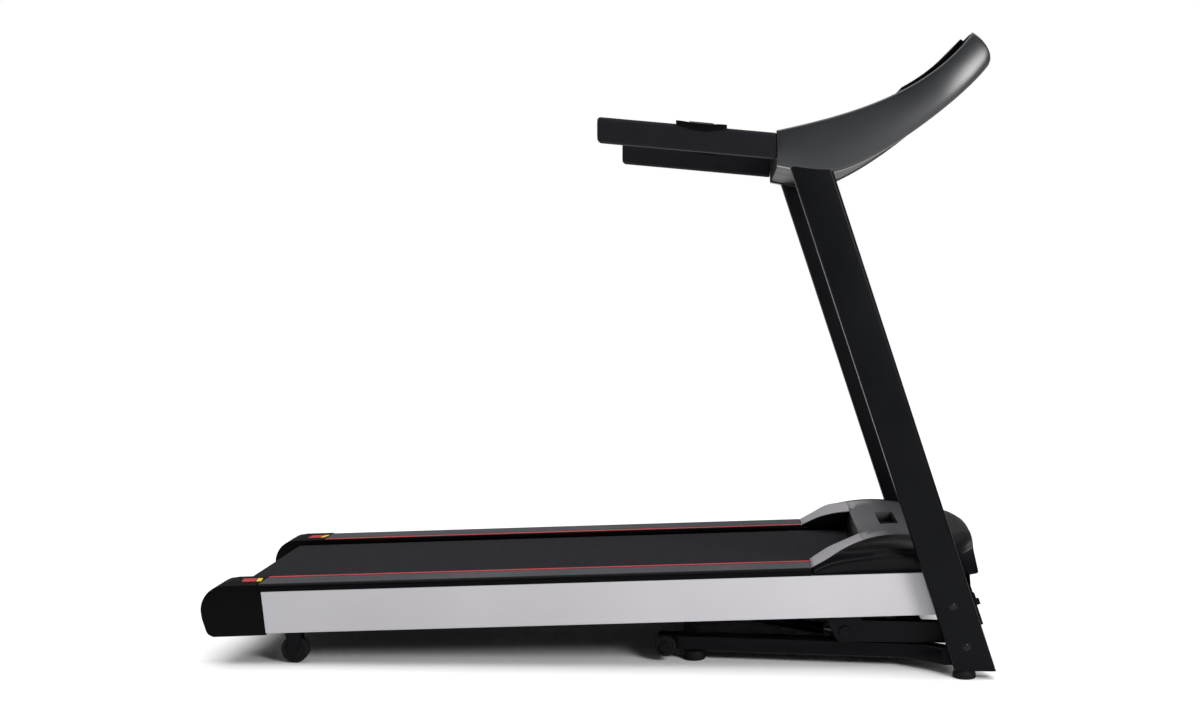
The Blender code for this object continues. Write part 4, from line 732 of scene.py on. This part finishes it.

# %% Two-tone plastic and painted light from the attribute
hood_plastic = finish("hood_two_tone_and_painted_light_plastic", (0.0012, 0.0013, 0.0018), (0.0026, 0.0028, 0.0036),
                      (0.28, 0.38), 0.15, 1300, gleam=0.09, **GRAINED)
hood_nodes, hood_links = hood_plastic.node_tree.nodes, hood_plastic.node_tree.links
shader = hood_nodes["Principled BSDF"]
dark_link = shader.inputs["Base Color"].links[0]
tone, mix = hood_nodes.new("ShaderNodeAttribute"), hood_nodes.new("ShaderNodeMix")
tone.attribute_name = "tone"
mix.data_type = "RGBA"
# The tone attribute mixes in grey: the arms' own grey, and the painted light fading over the top.
hood_links.new(tone.outputs["Fac"], mix.inputs["Factor"])
hood_links.new(dark_link.from_socket, mix.inputs["A"])
mix.inputs["B"].default_value = (0.33, 0.318, 0.34, 1)
hood_links.new(mix.outputs["Result"], shader.inputs["Base Color"])
hood_mesh.materials.append(hood_plastic)

# %% [markdown]
# ## Handles
# The runner holds two foam grips on a square steel tube. Foam shrinks round its tube, so its corners are
# wide and its ends are rolled over. Each grip carries a shallow pod with a rocker key for speed or slope.

# %% Foam grips
HANDLE_FALL = np.tan(np.radians(5.3))
HANDLE_REAR, HANDLE_FRONT, HANDLE_Y, HANDLE_HIGH = 0.0165, 0.3804, 0.3485, 1.123
GRIP_WIDE, GRIP_TALL, REAR_ROLL, FRONT_ROLL = 0.041, 0.052, 0.0075, 0.003
for side, s in SIDES:
    ends = np.linspace(0, np.pi / 2, 6)
    x = np.concatenate([HANDLE_REAR + REAR_ROLL * (1 - np.sin(ends[::-1])), [0.12, 0.25],
                        HANDLE_FRONT - FRONT_ROLL * (1 - np.sin(ends))])
    roll = np.concatenate([REAR_ROLL * (1 - np.cos(ends[::-1])), [0, 0], FRONT_ROLL * (1 - np.cos(ends))])
    section = rounded_section(GRIP_WIDE, GRIP_TALL, 0.0115, 8)
    scale = 1 - roll[:, None] / np.array([GRIP_WIDE / 2, GRIP_TALL / 2])
    y = s * HANDLE_Y + section[:, 0] * scale[:, :1]
    z = HANDLE_HIGH - (x[:, None] - HANDLE_REAR) * HANDLE_FALL + section[:, 1] * scale[:, 1:]
    rings = np.stack([np.repeat(x[:, None], len(section), axis=1), y, z], -1)
    grip = piece("foam_grip_" + side, [tube(rings, "foam")], "grip_" + side, sharp=60)

# %% Key pods and their rocker keys
POD_MIDDLE = 0.2285
for side, s in SIDES:
    x = np.linspace(0.177, 0.28, 21)
    line = HANDLE_HIGH - (x - HANDLE_REAR) * HANDLE_FALL + GRIP_TALL / 2
    bowl = line - 0.012 * (1 - ((x - POD_MIDDLE) / 0.0515) ** 2)
    dip = line[::-1] + 0.0065 - 0.0022 * np.exp(-((x[::-1] - POD_MIDDLE) / 0.03) ** 4)
    outline = np.concatenate([np.column_stack([x, bowl]), np.column_stack([x[::-1], dip])])
    low, high = sorted((s * 0.3268, s * 0.3702))
    rings = cushion_rings(outline[::-1], low, high, 0.0016)[..., [0, 2, 1]]
    piece("key_pod_shell_" + side, [tube(rings, "dark_plastic")], "key_pod_" + side, sharp=40)
for key in ("speed_key", "incline_key"):
    soften(key, key + "_cap", 0.0008, "gray_plastic")

# %% [markdown]
# ## The console's side covers
# Each side of the console is a long swept moulding, fuller in the middle than at its edges. It is a patch
# between four curves: a point is the blend of the curves above and below it plus the blend of the curves
# before and behind it, less the blend of the corners. The edges roll over by a few millimetres.

# %% Side covers of the console
TOP = ((0.3805, 1.1198), (0.5333, 1.1519), (0.6849, 1.1949), (0.7731, 1.3157))
LOW = ((0.8045, 1.248), (0.7468, 1.173), (0.548, 1.0264), (0.4752, 1.0348))
HEEL = ((0.4752, 1.0348), (0.443, 1.0368), (0.413, 1.043), (0.3815, 1.0495))
NOSE = ((0.7731, 1.3157), (0.796, 1.301), (0.819, 1.27), (0.8045, 1.248))
EDGE_ROLL, PATCH_LONG, PATCH_TALL = 0.0045, 0.52, 0.1
WING_INSIDE, WING_OUTSIDE = 0.3268, 0.374


def spread(count, length):
    """Even steps on the flat, and quarter-circle steps where the edge rolls over at both ends."""
    turn = 1 - np.cos(np.linspace(0, np.pi / 2, 6))
    ends = turn * EDGE_ROLL / length
    return np.concatenate([ends[:-1], np.linspace(ends[-1], 1 - ends[-1], count), 1 - ends[:-1][::-1]])


def evenly(path, shares):
    """Points of a path at these shares of its length."""
    far = distances(path)
    return np.stack([np.interp(shares, far / far[-1], path[:, k]) for k in (0, 1)], -1)


def console_patch():
    """Coons patch in (x, z), along to the nose and across from top to bottom, and how far it is drawn in."""
    along, across = spread(40, PATCH_LONG), spread(12, PATCH_TALL)
    top = evenly(bezier(TOP, np.linspace(0, 1, 200)), along)
    heel, low = bezier(HEEL[::-1], np.linspace(0, 1, 40)), bezier(LOW[::-1], np.linspace(0, 1, 160))
    bottom = evenly(np.concatenate([heel, low[1:]]), along)
    rear = top[0] + (bottom[0] - top[0]) * across[:, None]
    nose = bezier(NOSE, across)
    s, v = along[:, None, None], across[None, :, None]
    patch = (1 - v) * top[:, None] + v * bottom[:, None] + (1 - s) * rear[None] + s * nose[None]
    patch -= (1 - s) * ((1 - v) * top[0] + v * bottom[0]) + s * ((1 - v) * top[-1] + v * bottom[-1])
    roll_s = EDGE_ROLL - PATCH_LONG * np.minimum(along, 1 - along)
    roll_v = EDGE_ROLL - PATCH_TALL * np.minimum(across, 1 - across)
    away = np.hypot(np.maximum(roll_s, 0)[:, None], np.maximum(roll_v, 0)[None])
    drop = EDGE_ROLL - np.sqrt(np.maximum(EDGE_ROLL**2 - np.minimum(away, EDGE_ROLL) ** 2, 0))
    fuller = 0.005 * (2 * across[None] - 1) ** 2 + 0.0035 * along[:, None] ** 3
    fuller = fuller + 0.015 * (np.maximum(0, along - 0.72) / 0.28)[:, None] ** 2
    return patch, drop + fuller


patch, drop = console_patch()
for side, s in SIDES:
    outer = np.stack([patch[..., 0], s * (WING_OUTSIDE - drop), patch[..., 1]], -1)
    inner = np.stack([patch[..., 0], np.full(patch.shape[:2], s * WING_INSIDE), patch[..., 1]], -1)
    piece("console_wing_" + side, [shell(outer, inner, "console_plastic")], "console_side_" + side, sharp=45)

# %% [markdown]
# ## Wheels, feet and bolts
# Small turned parts are all made the same way: half a section, turned round an axis. A wheel has a rounded
# tread, a recess in each side and a hub; a foot is a rubber cup with two grooves; a bolt is a low dome on
# a washer with a six-sided socket.


# %% Wheels
def wheel_profile(radius, half, bore):
    """Half section of a wheel as (radius, height): out along one side, over the tread, back along the other."""
    side = [(bore, half), (bore + 0.0035, half), (bore + 0.0042, half - 0.0012), (radius * 0.68, half - 0.0025),
            (radius * 0.72, half - 0.0005), (radius - 0.003, half), (radius - 0.001, half - 0.001)]
    tread = [(radius, half - 0.003), (radius, half * 0.12), (radius - 0.0008, half * 0.06)]
    one = np.array(side + tread)
    return np.concatenate([one, one[::-1] * (1, -1)])


for node, bore in (("deck_wheel", 0.0046), ("transport_wheel", 0.0066)):
    for side in ("left", "right"):
        low, high = box_corners(f"{node}_{side}")
        profile = wheel_profile((high[2] - low[2]) / 2, (high[1] - low[1]) / 2, bore)
        rings = lathe(profile, (low + high) / 2, count=48)
        piece(f"{node}_tyre_{side}", [loop(rings, "rubber")], f"{node}_{side}", sharp=40)

# %% Rubber feet
for node in ("front_foot", "rear_foot"):
    for side in ("left", "right"):
        low, high = box_corners(f"{node}_{side}")
        wide, tall = (high[0] - low[0]) / 2, high[2] - low[2]
        profile = [(wide - 0.002, 0), (wide, 0.0015), (wide, 0.0045), (wide - 0.001, 0.0052),
                   (wide - 0.001, 0.0062), (wide - 0.0002, 0.007), (wide - 0.0012, tall * 0.62),
                   (wide - 0.003, tall - 0.0012), (wide - 0.0042, tall)]
        middle = ((low[0] + high[0]) / 2, (low[1] + high[1]) / 2, low[2])
        rings = lathe(profile, middle, axis="z", count=48)
        piece(f"{node}_rubber_{side}", [tube(rings, "rubber")], f"{node}_{side}", sharp=35)

# %% Dome-headed bolts
UPRIGHT_FACE, SOCKET = 0.3703, 0.0028
turn = np.linspace(0, 2 * np.pi, 36, endpoint=False)
hexagon = SOCKET * np.cos(np.pi / 6) / np.cos(turn % (np.pi / 3) - np.pi / 6)
dome = [(0.0084, 0.0), (0.0084, 0.0006), (0.007, 0.0008), (0.0066, 0.002), (0.0052, 0.0032), (0.0034, 0.0037)]
for node in ("upright_bolt", "pivot_bolt"):
    for side, s in SIDES:
        low, high = box_corners(f"{node}_{side}")
        x, z, face = (low[0] + high[0]) / 2, (low[2] + high[2]) / 2, s * UPRIGHT_FACE
        profile = np.array([(0.0048, -0.039), (0.0048, -0.0001)] + dome) * (1, s)
        rings = lathe(profile, (x, face, z), count=len(turn))
        socket = [np.column_stack([x + hexagon * np.cos(turn), np.full(len(turn), face + s * depth),
                                   z + hexagon * np.sin(turn)]) for depth in (0.0036, 0.0012)]
        bolt = tube(np.concatenate([rings, socket]), "dark_steel")
        piece(f"{node}_dome_{side}", [bolt], f"{node}_{side}", sharp=40)

# %% [markdown]
# ## The console's face
# The face is a membrane panel with two round push buttons, a row of blank quick keys, a magnetic safety key
# and a dark display window. Everything sits on the panel's own curve, so one helper gives a point of that
# curve and the direction out of it, and the small parts are laid out from there.


# %% Points on the console's face
def on_face(t, y, off):
    """World points at t along the face's curve, y across it and off above it, as one array."""
    t, y, off = np.broadcast_arrays(np.asarray(t, float), y, off)
    step = 0.001
    way = bezier(TOP, t + step) - bezier(TOP, t - step)
    way = way / np.linalg.norm(way, axis=-1)[..., None]
    at = bezier(TOP, t)
    return np.stack([at[..., 0] - off * way[..., 1], y, at[..., 1] + off * way[..., 0]], -1)


def face_lathe(profile, t, y):
    """Rings of a turned part whose axis is the face's normal at t, from rows of (radius, height)."""
    profile, turn = np.asarray(profile, float), np.linspace(0, 2 * np.pi, 48, endpoint=False)
    centre, top, side = on_face(t, y, 0.0), on_face(t, y, 1.0), on_face(t, y + 1.0, 0.0)
    out, across = top - centre, side - centre
    along = np.cross(out, across)
    ring = np.cos(turn)[:, None] * across + np.sin(turn)[:, None] * along
    return centre + profile[:, 0][:, None, None] * ring + profile[:, 1][:, None, None] * out


def face_pad(t0, t1, y0, y1, low, high, radius=0.004, rows=9, look="dark_plastic"):
    """A pad that follows the face from t0 to t1: a sheet, narrower round its corners, made solid."""
    middle, half, length = (y0 + y1) / 2, (y1 - y0) / 2, 0.46
    bend = min(radius / length, (t1 - t0) / 2)
    ends = bend * (1 - np.cos(np.linspace(0, np.pi / 2, 5)))
    t = np.unique(np.round(np.concatenate([t0 + ends, np.linspace(t0 + bend, t1 - bend, rows), t1 - ends]), 6))
    past = np.clip((np.abs(t - (t0 + t1) / 2) - ((t1 - t0) / 2 - bend)) / bend, 0, 1)
    wide = half - radius * (1 - np.sqrt(1 - past**2 * 0.98))
    y = middle + wide[:, None] * np.array([-1, -0.97, 0, 0.97, 1])
    edge = np.array([0.4, 0, 0, 0, 0.4]) * (high - low)
    return shell(on_face(t[:, None], y, high - edge), on_face(t[:, None], y, low), look)


# %% Start and stop buttons, safety key
BUTTON_T, BUTTON_Y = 0.4, 0.075
dish = [(0.0139, -0.0055), (0.0139, 0.0006), (0.0134, 0.0013), (0.0118, 0.0015), (0.0095, 0.0011),
        (0.005, 0.0008), (0.0012, 0.0007)]
for node, y, look in (("start_button", BUTTON_Y, "green_plastic"), ("stop_button", -BUTTON_Y, "red_plastic")):
    piece(node + "_cap", [tube(face_lathe(dish, BUTTON_T, y), look)], node, sharp=50)
stem = [(0.0088, -0.0118), (0.0088, 0.0004), (0.0158, 0.0006), (0.016, 0.0012), (0.016, 0.005),
        (0.0152, 0.0059), (0.011, 0.0062), (0.0098, 0.0066), (0.0088, 0.0076), (0.006, 0.008), (0.001, 0.008)]
piece("safety_key_cap", [tube(face_lathe(stem, 0.25, 0.0), "red_plastic")], "safety_key", sharp=40)

# %% Display window with its lights
WINDOW_MIDDLE = 0.79
glass = face_pad(0.665, 0.915, -0.236, 0.236, 0.0096, 0.0112, radius=0.006, rows=13, look="screen")
SEGMENTS = {"0": "abcdef", "3": "abgcd"}
BARS = {"a": (0, 1, 1), "g": (0, 0, 1), "d": (0, -1, 1), "f": (-1, 0.5, 0), "b": (1, 0.5, 0),
        "e": (-1, -0.5, 0), "c": (1, -0.5, 0)}
lights = []
for middle, digits in ((0.16, "00"), (0.0, "300"), (-0.16, "00")):
    for index, digit in enumerate(digits):
        y = middle + 0.028 * ((len(digits) - 1) / 2 - index)
        for bar in SEGMENTS[digit]:
            side, up, flat = BARS[bar]
            half_t, half_y = (0.003, 0.0076) if flat else (0.0205, 0.0012)
            t, at = WINDOW_MIDDLE + 0.052 * up, y - 0.0095 * side
            lights.append(face_pad(t - half_t, t + half_t, at - half_y, at + half_y, 0.011, 0.0115,
                                   radius=0.0006, rows=3, look="display_light"))
piece("display_window_glass", [glass] + lights, "display_lens", sharp=40)

# %% Keys and rims on the membrane
rim = [(0.015, -0.0012), (0.0176, -0.0012), (0.018, 0.0002), (0.0172, 0.0012), (0.0156, 0.0012),
       (0.015, 0.0004)]
face_parts = [loop(face_lathe(rim, BUTTON_T, y), "dark_plastic") for y in (BUTTON_Y, -BUTTON_Y)]
for y in (-0.245, -0.19, -0.135, 0.0, 0.135, 0.19, 0.245):
    face_parts.append(face_pad(0.37, 0.43, y - 0.019, y + 0.019, -0.0018, -0.0002, look="gray_plastic"))
for middle in (0.19, -0.19):
    face_parts.append(face_pad(0.08, 0.31, middle - 0.09, middle + 0.09, -0.0018, -0.0006, radius=0.008))
piece("console_face_keys", face_parts, "console_face", sharp=40)

# %% The console's front edge
across = np.linspace(-0.3262, 0.3262, 5)
line = bezier(NOSE, np.linspace(0.0, 1.0, 14))
middle = line.mean(0)
inner_line = middle + (line - middle) * 0.93 - np.array([0.003, 0.0015])
outer_line = line - np.array([0.0025, 0.0012])
sheets = [np.stack(np.broadcast_arrays(edge[:, :1], across, edge[:, 1:]), -1)
          for edge in (outer_line, inner_line)]
piece("console_nose_panel", [shell(*sheets, "console_plastic")], "console_back", sharp=50)

# %% [markdown]
# ## The front of the motor bay
# A flat apron closes the motor bay under the hood's front edge. It carries on from the power panel, in the
# same slanted plane, and has a few low ribs that stiffen the sheet.

# %% Front apron
FRONT = np.array([(1.625, 0.0865), (1.6262, 0.0608), (1.65, -0.0215), (1.64, -0.0255)])
slant = FRONT[2] - FRONT[1]
out_way = np.array([-slant[1], slant[0]]) / np.hypot(*slant)
parts = [deck_panel(FRONT, np.linspace(-0.1885, 0.3115, 6), -0.003 * out_way),
         deck_panel(FRONT[:2], np.array([-0.3115, -0.189]), -0.003 * out_way)]
for share in np.linspace(0.2, 0.8, 5):
    middle = FRONT[1] + share * slant
    rib = rounded_section(0.005, 0.0024, 0.001, 4)
    line = middle + rib[:, :1] * slant / np.hypot(*slant) + rib[:, 1:] * out_way
    ends = [deck(line[:, 0], y, line[:, 1]) for y in (-0.15, 0.285)]
    parts.append(tube(ends, "dark_plastic"))
piece("front_apron", parts, "power_panel", sharp=40)
